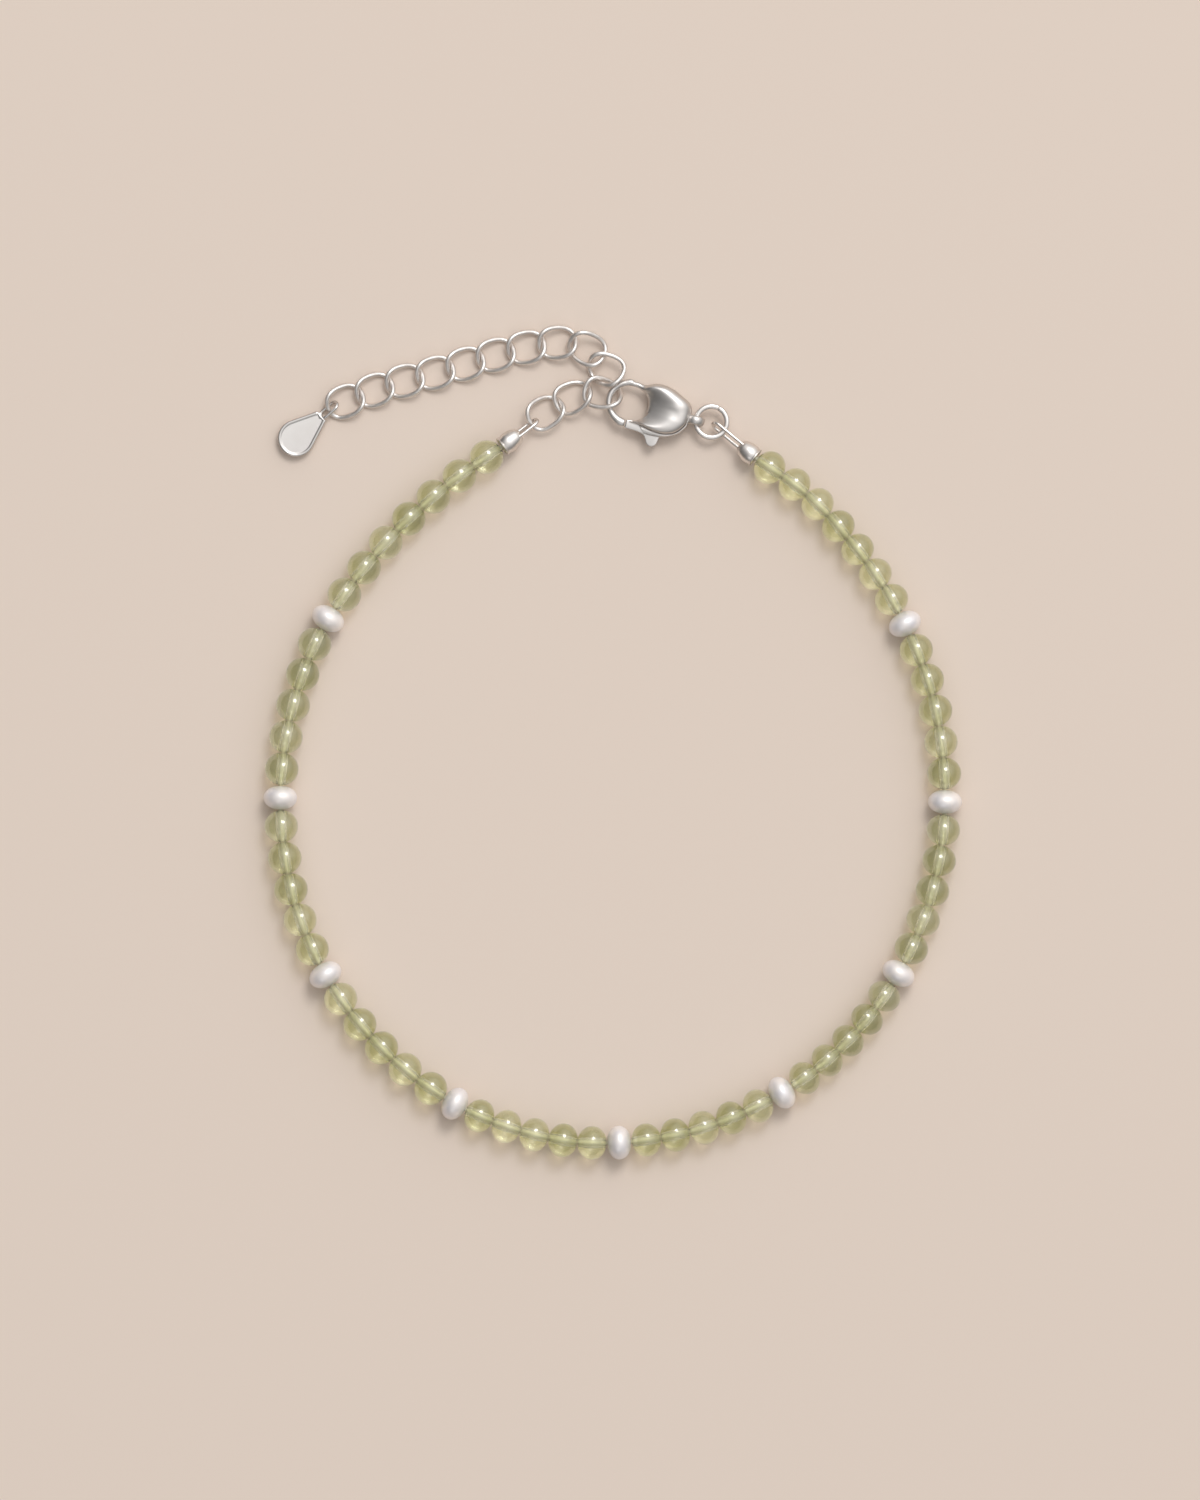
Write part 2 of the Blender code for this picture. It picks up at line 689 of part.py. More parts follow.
def make_beads(left, right, parent):
    """Both halves of the string, from cap to cap, and the pearls between its runs."""
    ends = [np.array(cap.mouth.xy) for cap in (left, right)]
    route = Route(string_route(*ends, string_length() + 2 * CAP_GAP))
    stations, pearls = string_stations(CAP_GAP)
    into_cap = CAP_GAP + 0.7 * CAP_BORE_DEPTH
    thread = THREAD_DIAMETER / 2
    stations.insert(0, (CAP_GAP - into_cap, thread))
    stations.append((stations[-1][0] + into_cap, thread))
    middle = pearls[len(pearls) // 2]
    before = [station for station in stations if station[0] < middle]
    after = [station for station in stations if station[0] > middle]
    before.append((middle - THREAD_END_GAP / 2, thread))
    after.insert(0, (middle + THREAD_END_GAP / 2, thread))
    make_string("left", before, route, parent)
    make_string("right", after, route, parent)
    mesh = pearl_mesh()
    for number, distance in enumerate(pearls, 1):
        place = Matrix.Translation(route.at(distance)) @ turn(route.bearing(distance))
        piece(f"pearl_{number}", mesh, PEARL, place, parent)


def teardrop():
    """The tag's outline: a round end, and straight sides that meet a narrow neck at the origin."""
    radius = TAG_WIDTH / 2
    centre = Vector((TAG_LENGTH - radius, 0, 0))
    lean = degrees(np.arcsin((radius - TAG_NECK / 2) / centre.x))
    sides = 90 + lean
    neck = [Vector((0, side * TAG_NECK / 2, 0)) for side in (1, -1)]
    return neck + arc(centre, radius, -sides, sides, TAG_STEPS)


def make_drop_tag(last_link, parent):
    """The tag lies flat; its tilted eye holds the last link's wire."""
    outline = teardrop()
    middle = Vector((TAG_LENGTH / 2, 0, 0))
    inner_share = 1 - 2 * TAG_EDGE / TAG_WIDTH
    levels = (
        (inner_share, 0.0),
        (1.0, TAG_EDGE),
        (1.0, TAG_THICKNESS - TAG_EDGE),
        (inner_share, TAG_THICKNESS),
    )
    rings = []
    for share, height in levels:
        lifted = middle + Vector((0, 0, height))
        rings.append([lifted + share * (point - middle) for point in outline])
    wire = last_link.wire_at(TAG_EYE_SEAT)
    slack = LINK_WIRE / 2 + TAG_EYE_WIRE + TAG_EYE_SLACK
    neck = wire + (TAG_EYE_LENGTH - slack) * level(TAG_BEARING)
    place = Matrix.Translation((neck.x, neck.y, 0)) @ turn(TAG_BEARING)
    tag = piece("drop_tag", skin("drop_tag", rings), SATIN_SILVER, place, parent)
    path_length = TAG_EYE_LENGTH + TAG_EYE_OVERLAP - TAG_EYE_WIRE
    path = stadium(path_length, TAG_EYE_HEIGHT - TAG_EYE_WIRE, LOOP_STEPS)
    far = Vector((TAG_EYE_LENGTH - TAG_EYE_WIRE / 2, 0, 0))
    base = TAG_EYE_RISE * TAG_THICKNESS
    eye_turn = turn(180, degrees(atan2(wire.z - base, TAG_EYE_LENGTH - slack)), TAG_EYE_ROLL)
    eye_place = place @ Matrix.Translation((0, 0, base)) @ eye_turn @ Matrix.Translation(far)
    eye = helper("tag_eye", wire_loop("tag_eye", path, TAG_EYE_WIRE), eye_place, parent)
    boolean(tag, eye, "UNION")
    return tag


def rest_on_surface(parent):
    """Moves the whole bracelet so that the origin is under its middle, on the surface."""
    bpy.context.view_layer.update()
    graph = bpy.context.evaluated_depsgraph_get()
    corners = []
    for child in parent.children:
        if not child.hide_render:
            shape = child.evaluated_get(graph)
            corners += [child.matrix_world @ vertex.co for vertex in shape.data.vertices]
    low = Vector([min(point[k] for point in corners) for k in range(3)])
    high = Vector([max(point[k] for point in corners) for k in range(3)])
    parent.location = -Vector(((low.x + high.x) / 2, (low.y + high.y) / 2, low.z))


def main():
    for old in list(bpy.data.objects):
        bpy.data.objects.remove(old)
    bracelet = bpy.data.objects.new("bracelet", None)
    bpy.context.scene.collection.objects.link(bracelet)
    links = lay_chain()
    make_chain(links, bracelet)
    make_clasp_body(bracelet)
    make_clasp_lever(bracelet)
    make_jump_ring(bracelet)
    left, right = make_caps(links, bracelet)
    make_beads(left, right, bracelet)
    make_drop_tag(links[-1], bracelet)
    rest_on_surface(bracelet)


if __name__ == "__main__":
    main()
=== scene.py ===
"""Looks of a bracelet of glass beads and pearls, built as an add-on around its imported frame.

Every piece takes its place from the frame's own nodes. Metres, +Z up; X and Y lie along the surface.
"""

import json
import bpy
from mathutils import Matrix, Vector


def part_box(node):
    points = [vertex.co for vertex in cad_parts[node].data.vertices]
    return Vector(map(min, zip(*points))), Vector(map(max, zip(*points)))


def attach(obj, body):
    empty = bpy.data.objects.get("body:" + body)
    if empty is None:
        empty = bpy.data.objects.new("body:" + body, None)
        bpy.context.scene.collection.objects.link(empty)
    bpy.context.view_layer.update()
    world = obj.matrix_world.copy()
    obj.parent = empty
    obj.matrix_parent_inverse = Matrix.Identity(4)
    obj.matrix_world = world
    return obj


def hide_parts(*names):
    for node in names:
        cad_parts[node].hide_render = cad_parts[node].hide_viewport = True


bl_info = {
    "name": "Glass and pearl bracelet",
    "version": (1, 0, 0),
    "blender": (4, 5, 0),
    "location": "3D View > Sidebar > Bracelet",
    "description": "Builds the beads, pearls, chain, clasp and drop tag of a bracelet",
    "category": "Add Mesh",
}

from functools import lru_cache
from math import atan2, cos, pi, radians, sin

import bmesh
import bpy
import numpy as np
from bpy.props import FloatProperty, FloatVectorProperty, IntProperty, PointerProperty
from mathutils import Matrix, Vector

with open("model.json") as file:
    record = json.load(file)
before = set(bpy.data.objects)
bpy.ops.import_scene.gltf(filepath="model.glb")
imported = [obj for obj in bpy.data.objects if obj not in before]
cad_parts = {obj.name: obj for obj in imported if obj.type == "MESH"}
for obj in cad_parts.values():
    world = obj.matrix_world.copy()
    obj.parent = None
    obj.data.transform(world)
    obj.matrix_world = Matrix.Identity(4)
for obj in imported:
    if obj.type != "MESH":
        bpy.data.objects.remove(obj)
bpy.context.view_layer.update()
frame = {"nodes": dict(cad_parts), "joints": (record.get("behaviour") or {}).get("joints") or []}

MM = 0.001
SEED = 7
UP = (0.0, 0.0, 1.0)

# Points of a node this near to its top, or to a cap's mouth, belong to it.
NEAR = 0.05 * MM

# Half a glass bead's length as a share of the room that it has on the string, how far the wall of its
# bore reaches towards each end, and the width of the lip round the bore.
BEAD_HALF_SHARE = 0.492
BORE_REACH = 0.985
BORE_LIP = 0.04 * MM

# How full a round outline is: 1 is a circle, and less is fuller.
GLASS_FULLNESS = 0.94
PEARL_FULLNESS = 0.93

# The deepest hollow in a pearl as a share of its radius, how far the wall of its bore reaches, and
# the number of hollows and how narrow they are.
PEARL_HOLLOW = 0.016
PEARL_BORE_REACH = 0.96
PEARL_HOLLOWS = 5
PEARL_HOLLOW_SHARPNESS = 3

# How far a glass bead leans on its thread to the side and upwards, in degrees.
BEAD_TURN = 1.2
BEAD_PITCH = 1.0

# Sections of the clasp by bearing from the middle of the hook's hole: inner radius as a share of
# half the hole, radius of the cheek's edge as a share of the reach, thickness as a share of the
# whole thickness, and how far the ridge leans outwards. They start at the horn over the lever.
BELLY_SECTIONS = (
    (-79.0, 1.03, 0.297, 0.38, 0.0),
    (-70.0, 1.03, 0.323, 0.45, 0.0),
    (-60.0, 1.03, 0.353, 0.54, 0.0),
    (-52.0, 1.03, 0.385, 0.66, 0.2),
    (-46.0, 1.03, 0.420, 0.78, 0.3),
    (-40.0, 1.04, 0.510, 0.87, 0.4),
    (-34.0, 1.04, 0.615, 0.94, 0.38),
    (-28.0, 1.05, 0.725, 0.98, 0.36),
    (-20.0, 1.05, 0.842, 1.00, 0.34),
    (-10.0, 1.05, 0.925, 1.00, 0.32),
    (0.0, 1.05, 0.978, 1.00, 0.3),
    (11.0, 1.05, 0.985, 1.00, 0.28),
    (24.0, 1.05, 0.815, 0.99, 0.26),
    (40.0, 1.02, 0.640, 0.90, 0.22),
    (52.0, 0.99, 0.500, 0.70, 0.1),
)

# The same for the hook, whose wall and thickness are shares of its wire. It narrows to a neck where
# it leaves the belly.
HOOK_SECTIONS = (
    (61.0, 0.96, 1.12, 1.45, 0.0),
    (68.0, 0.96, 0.92, 1.12, 0.0),
    (80.0, 0.955, 0.86, 0.98, 0.0),
    (93.0, 0.95, 0.86, 0.95, 0.0),
    (97.0, 0.95, 1.02, 1.04, 0.0),
    (116.0, 0.97, 1.00, 1.00, 0.0),
    (136.0, 1.00, 1.00, 1.00, 0.0),
    (156.0, 1.02, 0.98, 1.00, 0.0),
    (178.0, 1.03, 0.98, 1.00, 0.0),
    (200.0, 1.02, 1.00, 1.00, 0.0),
    (220.0, 0.99, 1.05, 1.00, 0.0),
    (240.0, 0.96, 1.20, 1.05, 0.0),
    (256.0, 0.95, 1.35, 1.10, 0.0),
    (270.0, 0.97, 1.20, 0.95, 0.0),
)

# The lower lip outside the cheek's edge: bearing, its outer radius as a share of the reach, its
# height as a share of half the thickness, and how fully it is formed.
LIP_SECTIONS = (
    (-52.5, 0.540, 0.38, 1.0),
    (-40.0, 0.660, 0.42, 1.0),
    (-28.0, 0.805, 0.48, 1.0),
    (-18.0, 0.915, 0.53, 1.0),
    (-8.0, 0.985, 0.56, 1.0),
    (2.0, 1.000, 0.56, 0.5),
    (8.0, 0.990, 0.50, 0.0),
)

# How square a chain link's outline is: 1 is an ellipse, and less is squarer.
LINK_SQUARENESS = 0.88

# Where a link's solder seam can lie, as a share of the way round, and how much thicker and thinner
# its wire is there. The two widths are counted in the steps of a link's path.
LINK_STEPS = 72
SEAM_PLACES = (0.2, 0.3, 0.7, 0.8)
SEAM_RELIEF = 0.05
SEAM_SWELL_WIDTH = 2.2
SEAM_DIP_WIDTH = 0.7

# The jump ring's cut: its bearing in degrees, half its width, the wire's size at its two ends as a
# share, and how square the wire is. The last number is how far a square's corner lies outside its side.
RING_CUT_BEARING = 62.0
RING_CUT_HALF = 0.02 * MM
RING_END = 0.88
RING_SQUARENESS = 0.25
SQUARE_CORNER = 0.41

# The end cap's lip: distance from its mouth and width outside it, in millimetres.
CAP_LIP = (
    (0.0, 0.10),
    (0.03, 0.15),
    (0.10, 0.16),
    (0.14, 0.13),
    (0.17, 0.10),
)

# The end cap's outline behind its lip: share of its length, share of its radius. It is drawn from
# the first of these shares to the second.
CAP_FROM = 0.09
CAP_TO = 0.985
CAP_PROFILE = (
    (0.08, 0.88),
    (0.18, 0.95),
    (0.32, 1.0),
    (0.50, 0.97),
    (0.68, 0.89),
    (0.82, 0.78),
    (0.92, 0.62),
    (1.0, 0.40),
)

# The lip's own section, from its outer edge to the crease: share of its width, share of its height.
LIP_PROFILE = (
    (1.0, 0.0),
    (0.97, 0.5),
    (0.86, 0.84),
    (0.66, 0.99),
    (0.40, 1.0),
    (0.16, 0.93),
    (0.05, 0.78),
)

# The clasp's inner slope where its ridge leans outwards: how much of its height it loses by the hole,
# how late it loses it, the last part of the turn in which it drops to the hole's wall, and the lean
# at which it is fully formed.
SLOPE_LOSS = 0.82
SLOPE_LATENESS = 1.5
SLOPE_DROP = 0.35
SLOPE_FULL_LEAN = 0.22

# The clasp's rings from horn to nose, the points over a section's upper side, and the bearing over
# which the nose is rounded.
CLASP_RINGS = 176
SECTION_POINTS = 25
NOSE_ROUNDING = 3.0

# The lever's tip, then its back and its front edge between tip and pin: along and across. The tip's
# are shares of half the arm's width. The edges' first is a share of the way to the pin.
LEVER_TIP = (
    (0.15, 1.0),
    (0.0, 0.7),
    (0.0, -0.8),
    (0.15, -1.1),
)
LEVER_BACK = (0.62, -1.3)
LEVER_FRONT = (0.5, 1.15)
LEVER_EDGE = 0.09 * MM

# The bearings over which the lever's outline runs round its thumb tab and round its pin, and the
# size of the tab's outline before its corners are cut back.
TAB_TURN = (190, 350)
PIN_TURN = (-10, 100)
TAB_FULLNESS = 1.02

# The drop tag's section from its foot over the rim to the face inside it: inset from the outline and
# height, both in millimetres at the rim and thickness that follow, and how rubbed the metal is.
TAG_SECTION = (
    (0.22, 0.02, 0.3),
    (0.10, 0.08, 0.4),
    (0.03, 0.18, 0.5),
    (0.0, 0.32, 0.6),
    (0.0, 0.70, 0.6),
    (0.012, 0.78, 0.9),
    (0.04, 0.84, 1.0),
    (0.08, 0.872, 1.0),
    (0.15, 0.89, 1.0),
    (0.23, 0.88, 0.6),
    (0.29, 0.852, 0.2),
    (0.33, 0.825, 0.0),
    (0.36, 0.82, 0.0),
    (0.40, 0.82, 0.0),
    (0.44, 0.82, 0.0),
)
TAG_SECTION_RIM = 0.26
TAG_SECTION_THICKNESS = 0.9

# Where the line inside the tag starts, to which its insets run, and the most of the way they go.
TAG_SPINE_START = 0.42 * MM
TAG_MOST_INSET = 0.8

# The tag's bead of solder: share of its radius, share of its height.
STUD_SECTION = (
    (1.0, 0.0),
    (1.0, 0.7),
    (0.9, 0.85),
    (0.6, 0.97),
)

# Directions towards the main light, the fill light and the sky's bright side, and the lights'
# distance and width in metres.
MAIN_LIGHT_WAY = (0.21, 0.52, 0.83)
FILL_LIGHT_WAY = (-0.2, -0.72, 0.66)
BRIGHT_SIDE_WAY = (0.42, 0.62, 0.66)
LIGHT_DISTANCE = 1.2
LIGHT_WIDTH = 0.5

# The sky's brightness: by height, by side as a factor, and what its bright side adds by nearness.
SKY_BY_HEIGHT = ((0.0, 0.14), (0.35, 0.22), (0.6, 0.36), (0.85, 0.58), (1.0, 0.72))
SKY_BY_SIDE = ((0.1, 0.45), (0.4, 0.75), (0.5, 1.0))
SKY_BRIGHT_SIDE = ((0.3, 0.0), (0.65, 0.25), (0.92, 0.75))


def kind(make, read=None, **options):
    """A maker of one kind of setting. The read function turns the default into metres or radians."""

    def setting(name, description, default):
        value = read(default) if read else default
        return make(name=name, description=description, default=value, **options)

    return setting


def millimetres(value):
    return value * MM


length = kind(FloatProperty, millimetres, min=0.0, unit="LENGTH", precision=5)
position = kind(FloatProperty, millimetres, unit="LENGTH", precision=5)
angle = kind(FloatProperty, radians, subtype="ANGLE")
share = kind(FloatProperty, min=0.0, max=1.0, subtype="FACTOR")
times = kind(FloatProperty)
power = kind(FloatProperty, unit="POWER")
colour = kind(FloatVectorProperty, size=3, min=0.0, max=1.0, subtype="COLOR")
steps = kind(IntProperty, min=3)


class BeadSettings(bpy.types.PropertyGroup):
    """Sizes and colours of the beads, the pearls and their thread."""

    bore: length("Bore", "Diameter of the hole drilled through a glass bead", 0.64)
    pearl_bore: length("Pearl bore", "Diameter of the hole drilled through a pearl", 0.76)
    thread: length("Thread", "Diameter of the thread", 0.4)
    thread_gap: length("Thread gap", "Space between the two threads' ends inside the middle pearl", 0.1)
    unevenness: share("Unevenness", "How much one bead differs in size from the next", 0.02)
    sides: steps("Sides", "Points round a bead", 36)
    rings: steps("Rings", "Rings along a bead's outer surface", 20)
    glass: colour("Glass", "Colour of the clear glass", (0.86, 0.885, 0.64))
    glass_deep: colour("Deep glass", "Colour of the glass where it is thick or cloudy", (0.71, 0.74, 0.46))
    glass_shade: colour("Glass shade", "Light that a bead lets through to its shadow", (0.58, 0.53, 0.45))
    clearness: share("Clearness", "How much of the glass is clear rather than milky", 0.94)
    bore_wall: colour("Bore wall", "Colour of the frosted wall of a bead's bore", (0.98, 0.98, 0.92))
    nacre: colour("Nacre", "Main colour of the pearls", (0.95, 0.88, 0.835))
    nacre_cool: colour("Cool nacre", "Colour of the pearls' cooler patches", (0.88, 0.845, 0.86))
    thread_colour: colour("Thread colour", "Colour of the thread", (0.62, 0.58, 0.42))


class MetalSettings(bpy.types.PropertyGroup):
    """Sizes and colours of the chain, the caps, the rings and the drop tag."""

    link_wire: length("Link wire", "Diameter of a chain link's wire", 0.42)
    link_twist: length("Link twist", "How far the sides of a chain link are lifted and lowered", 0.42)
    cap: length("Cap", "Diameter of an end cap", 1.8)
    cap_mouth: length("Cap mouth", "Diameter of an end cap where it meets the beads", 1.45)
    cap_bore: length("Cap bore", "Diameter of the hole in an end cap", 0.76)
    cap_bore_depth: length("Cap bore depth", "Depth of the hole in an end cap", 0.8)
    left_cap: length("Left cap", "Length of the left end cap without its loop", 2.0)
    right_cap: length("Right cap", "Length of the right end cap without its loop", 1.8)
    left_loop: length("Left loop", "How far the left cap's loop stands out", 2.06)
    right_loop: length("Right loop", "How far the right cap's loop stands out", 3.17)
    loop_wire: length("Loop wire", "Diameter of the cap loops' wire", 0.3)
    loop_width: length("Loop width", "Outer width of the cap loops", 1.34)
    loop_roll: angle("Loop roll", "How far the cap loops are rolled about their cap", 114.0)
    ring_wire: length("Ring wire", "Diameter of the jump ring's wire", 0.48)
    tag_length: length("Tag length", "Length of the drop tag without its eye", 4.6)
    tag_width: length("Tag width", "Width of the drop tag", 3.25)
    tag_neck: length("Tag neck", "Width of the drop tag where its eye starts", 1.15)
    tag_thickness: length("Tag thickness", "Thickness of the drop tag", 0.9)
    tag_rim: length("Tag rim", "Width of the raised rim round the drop tag", 0.26)
    tag_bearing: angle("Tag bearing", "Direction in which the drop tag points", 221.0)
    tag_eye_wire: length("Tag eye wire", "Diameter of the tag eye's wire", 0.3)
    tag_eye_length: length("Tag eye length", "How far the tag's eye stands out", 1.87)
    tag_eye_height: length("Tag eye height", "Outer width of the tag's eye", 1.18)
    tag_eye_slack: length("Tag eye slack", "How far the link's wire lies from the eye's end", 1.06)
    tag_eye_roll: angle("Tag eye roll", "How far the tag's eye is rolled", 132.0)
    tag_eye_seat: angle("Tag eye seat", "How far round the last link the tag's eye hangs", 7.0)
    tag_stud: length("Tag stud", "Diameter of the bead of solder beside the tag's neck", 0.48)
    tag_stud_along: length("Tag stud along", "How far that bead lies down the tag from its neck", 0.053)
    tag_stud_across: length("Tag stud across", "How far it lies to the side", 0.2055)
    silver: colour("Silver", "Colour of the polished silver", (0.88, 0.84, 0.805))
    tarnish: colour("Tarnish", "Colour of the silver's duller patches", (0.58, 0.53, 0.50))
    satin: colour("Satin silver", "Colour of the satin silver", (0.71, 0.68, 0.655))
    edge_tint: colour("Edge tint", "Light that silver mirrors at a glancing angle", (0.78, 0.74, 0.71))


class ClaspSettings(bpy.types.PropertyGroup):
    """Sizes of the lobster clasp."""

    bearing: angle("Bearing", "Direction from the hook to the clasp's eye", -15.0)
    hole: length("Hole", "Diameter of the hook's hole", 3.1)
    reach: length("Reach", "Distance from the hole's middle to the belly's end", 5.5)
    thickness: length("Thickness", "Thickness of the belly", 2.3)
    hook_wire: length("Hook wire", "Thickness of the hook", 0.56)
    slot: length("Slot", "Width of the lever's slot", 0.72)
    eye: length("Eye", "Outer diameter of the eye", 1.6)
    eye_wire: length("Eye wire", "Thickness of the eye", 0.44)
    eye_spread: times("Eye spread", "Width of the eye's wire by its thickness", 1.8)
    eye_overlap: length("Eye overlap", "How far the eye reaches into the belly", 0.35)
    pivot_x: length("Pivot along", "Distance of the pin from the hole's middle, along the clasp", 2.73)
    pivot_y: length("Pivot across", "The same across the clasp, towards the lever's side", 1.74)
    pin: length("Pin", "Diameter of the lever's pin", 0.5)
    pin_hole: length("Pin hole", "Diameter of the lever's hole", 0.7)
    boss: length("Boss", "Radius of the lever round its pin", 0.6)
    lever: length("Lever", "Thickness of the lever", 0.5)
    arm: length("Arm", "Width of the lever's arm", 0.75)
    tip_gap: length("Tip gap", "Space between the lever's tip and the hook's nose", 0.07)
    tab: length("Tab", "Diameter of the thumb tab's round end", 1.05)
    tab_reach: length("Tab reach", "How far the thumb tab stands out from the pin", 1.5)
    tab_bearing: angle("Tab bearing", "Direction of the thumb tab from the pin", 266.0)


class StageSettings(bpy.types.PropertyGroup):
    """The ground, the lights and the camera."""

    ground: colour("Ground", "Colour of the ground", (0.768, 0.65, 0.562))
    ground_size: length("Ground size", "Width of the ground", 2400.0)
    view_height: length("View height", "Height of the camera above the surface", 1200.0)
    view_long_side: length("View long side", "Height of the surface that the picture shows", 131.25)
    view_x: position("View X", "Middle of the view along X", -1.11)
    view_y: position("View Y", "Middle of the view along Y", -0.66)
    focus_height: length("Focus height", "Height at which the picture's scale holds", 1.5)
    key_power: power("Main light", "Power of the main soft light", 4.9)
    fill_power: power("Fill light", "Power of the fill light", 0.6)


class Value:
    """One output of a shader node. Arithmetic on it adds the nodes that work it out."""

    def __init__(self, look, socket):
        self.look = look
        self.socket = socket

    def worked(self, operation, first, second):
        return self.look.node("ShaderNodeMath", {"operation": operation}, {0: first, 1: second})

    def __add__(self, other):
        return self.worked("ADD", self, other)

    def __radd__(self, other):
        return self.worked("ADD", other, self)

    def __rsub__(self, other):
        return self.worked("SUBTRACT", other, self)

    def __mul__(self, other):
        return self.worked("MULTIPLY", self, other)


class Look:
    """One procedural material, or the world, while it is being put together."""

    def __init__(self, owner):
        owner.use_nodes = True
        self.owner = owner
        self.tree = owner.node_tree
        self.tree.nodes.clear()

    @classmethod
    def material(cls, name):
        return cls(bpy.data.materials.new(name))

    def node(self, kind, settings=None, inputs=None, output=0):
        """Adds a node, with its settings first and then its sockets' values or links."""
        made = self.tree.nodes.new(kind)
        for name, value in (settings or {}).items():
            if name == "stops":
                self.set_stops(made.color_ramp, value)
            else:
                setattr(made, name, value)
        for name, value in (inputs or {}).items():
            if isinstance(value, Value):
                self.tree.links.new(value.socket, made.inputs[name])
            elif isinstance(made.inputs[name].default_value, float):
                made.inputs[name].default_value = value
            else:
                room = len(made.inputs[name].default_value)
                made.inputs[name].default_value = (*value, 1.0)[:room]
        return Value(self, made.outputs[output]) if len(made.outputs) else None

    @staticmethod
    def set_stops(ramp, stops):
        for position, _ in stops[1:-1]:
            ramp.elements.new(position)
        for element, (position, grey) in zip(ramp.elements, stops):
            element.position = position
            element.color = (grey, grey, grey, 1.0)

    def spot(self):
        return self.node("ShaderNodeTexCoord", output="Object")

    def noise(self, size, detail=2.0, roughness=0.5, stretch=(1.0, 1.0, 1.0)):
        """A grey pattern with patches of about this size in metres."""
        scaled = self.node("ShaderNodeMapping", {}, {"Vector": self.spot(), "Scale": stretch})
        sockets = {"Vector": scaled, "Scale": 1.0 / size, "Detail": detail, "Roughness": roughness}
        return self.node("ShaderNodeTexNoise", {}, sockets)

    def ramp(self, value, *stops):
        return self.node("ShaderNodeValToRGB", {"stops": stops}, {0: value})

    def mix(self, factor, one, other):
        """Colour one where the factor is 0, the other where it is 1."""
        return self.node("ShaderNodeMix", {"data_type": "RGBA"}, {0: factor, 6: one, 7: other}, output=2)

    def mark(self, name):
        """A value kept on the mesh's points."""
        return self.node("ShaderNodeAttribute", {"attribute_name": name}, output="Fac")

    def bump(self, height, strength, distance):
        sockets = {"Height": height, "Strength": strength, "Distance": distance}
        return self.node("ShaderNodeBump", {}, sockets)

    def principled(self, sockets):
        return self.node("ShaderNodeBsdfPrincipled", {}, sockets)

    def finish(self, shader):
        self.node("ShaderNodeOutputMaterial", {}, {"Surface": shader})
        return self.owner


def lets_light_through(look, body, tint):
    """This shader, except that part of the light behind it passes straight through to what it shades."""
    shadow = look.node("ShaderNodeLightPath", output="Is Shadow Ray")
    clear = look.node("ShaderNodeBsdfTransparent", {}, {"Color": tint})
    return look.node("ShaderNodeMixShader", {}, {0: shadow, 1: body, 2: clear})


def olive_glass(settings):
    """Clear olive glass, a little cloudy, each bead a slightly different tone."""
    look = Look.material("olive_glass")
    cloud = look.noise(0.9 * MM, 3.0, 0.6)
    depth = look.ramp(cloud * 0.6 + look.mark("tone") * 0.4, (0.3, 0.0), (0.7, 1.0))
    ripple = look.noise(0.45 * MM, 2.0, 0.5)
    sockets = {
        "Base Color": look.mix(depth, settings.glass, settings.glass_deep),
        "Roughness": 0.06 + cloud * 0.12,
        "IOR": 1.5,
        "Transmission Weight": settings.clearness,
        "Coat Weight": 0.8,
        "Coat IOR": 1.8,
        "Coat Roughness": 0.15,
        "Normal": look.bump(ripple, 0.12, 0.02 * MM),
    }
    return look.finish(lets_light_through(look, look.principled(sockets), settings.glass_shade))


def drilled_glass(settings):
    """The frosted wall that the drill leaves inside a bead."""
    look = Look.material("drilled_glass")
    grit = look.noise(0.12 * MM, 3.0, 0.7)
    sockets = {
        "Base Color": look.mix(grit * 0.5, settings.bore_wall, settings.thread_colour),
        "Roughness": 0.18 + grit * 0.3,
        "IOR": 1.5,
        "Transmission Weight": 0.8,
        "Normal": look.bump(grit, 0.3, 0.02 * MM),
    }
    return look.finish(lets_light_through(look, look.principled(sockets), settings.glass_shade))


def nacre(settings):
    """Pearl with a soft deep lustre, faint growth rings and cooler patches."""
    look = Look.material("nacre")
    patch = look.ramp(look.noise(1.4 * MM, 2.0, 0.5), (0.35, 0.0), (0.7, 1.0))
    growth = look.noise(0.5 * MM, 3.0, 0.55)
    sockets = {
        "Base Color": look.mix(patch, settings.nacre, settings.nacre_cool),
        "Metallic": 0.24 + patch * 0.12,
        "Roughness": 0.34 + growth * 0.12,
        "Coat Weight": 0.35 + growth * 0.3,
        "Coat Roughness": 0.14,
        "Coat IOR": 1.5,
        "Specular IOR Level": 0.6,
        "Normal": look.bump(growth, 0.10, 0.03 * MM),
    }
    return look.finish(look.principled(sockets))


def thread_look(settings):
    """Twisted nylon thread."""
    look = Look.material("twisted_thread")
    strand = look.noise(0.09 * MM, 2.0, 0.6)
    sockets = {
        "Base Color": look.mix(strand, settings.thread_colour, (0.78, 0.76, 0.62)),
        "Roughness": 0.55 + strand * 0.2,
        "Normal": look.bump(strand, 0.4, 0.02 * MM),
    }
    return look.finish(look.principled(sockets))


def silver_look(name, settings, roughness):
    """Silver with fine rub marks, duller where it has been less handled."""
    look = Look.material(name)
    patch = look.ramp(look.noise(1.1 * MM, 4.0, 0.6), (0.42, 0.0), (0.75, 1.0))
    rubs = look.noise(0.10 * MM, 3.0, 0.65, (1.0, 1.0, 0.3))
    sockets = {
        "Base Color": look.mix(patch * 0.6, settings.silver, settings.tarnish),
        "Metallic": 1.0,
        "Specular Tint": settings.edge_tint,
        "Roughness": roughness + patch * 0.12 + rubs * 0.10,
        "Normal": look.bump(rubs, 0.10, 0.012 * MM),
    }
    return look.finish(look.principled(sockets))


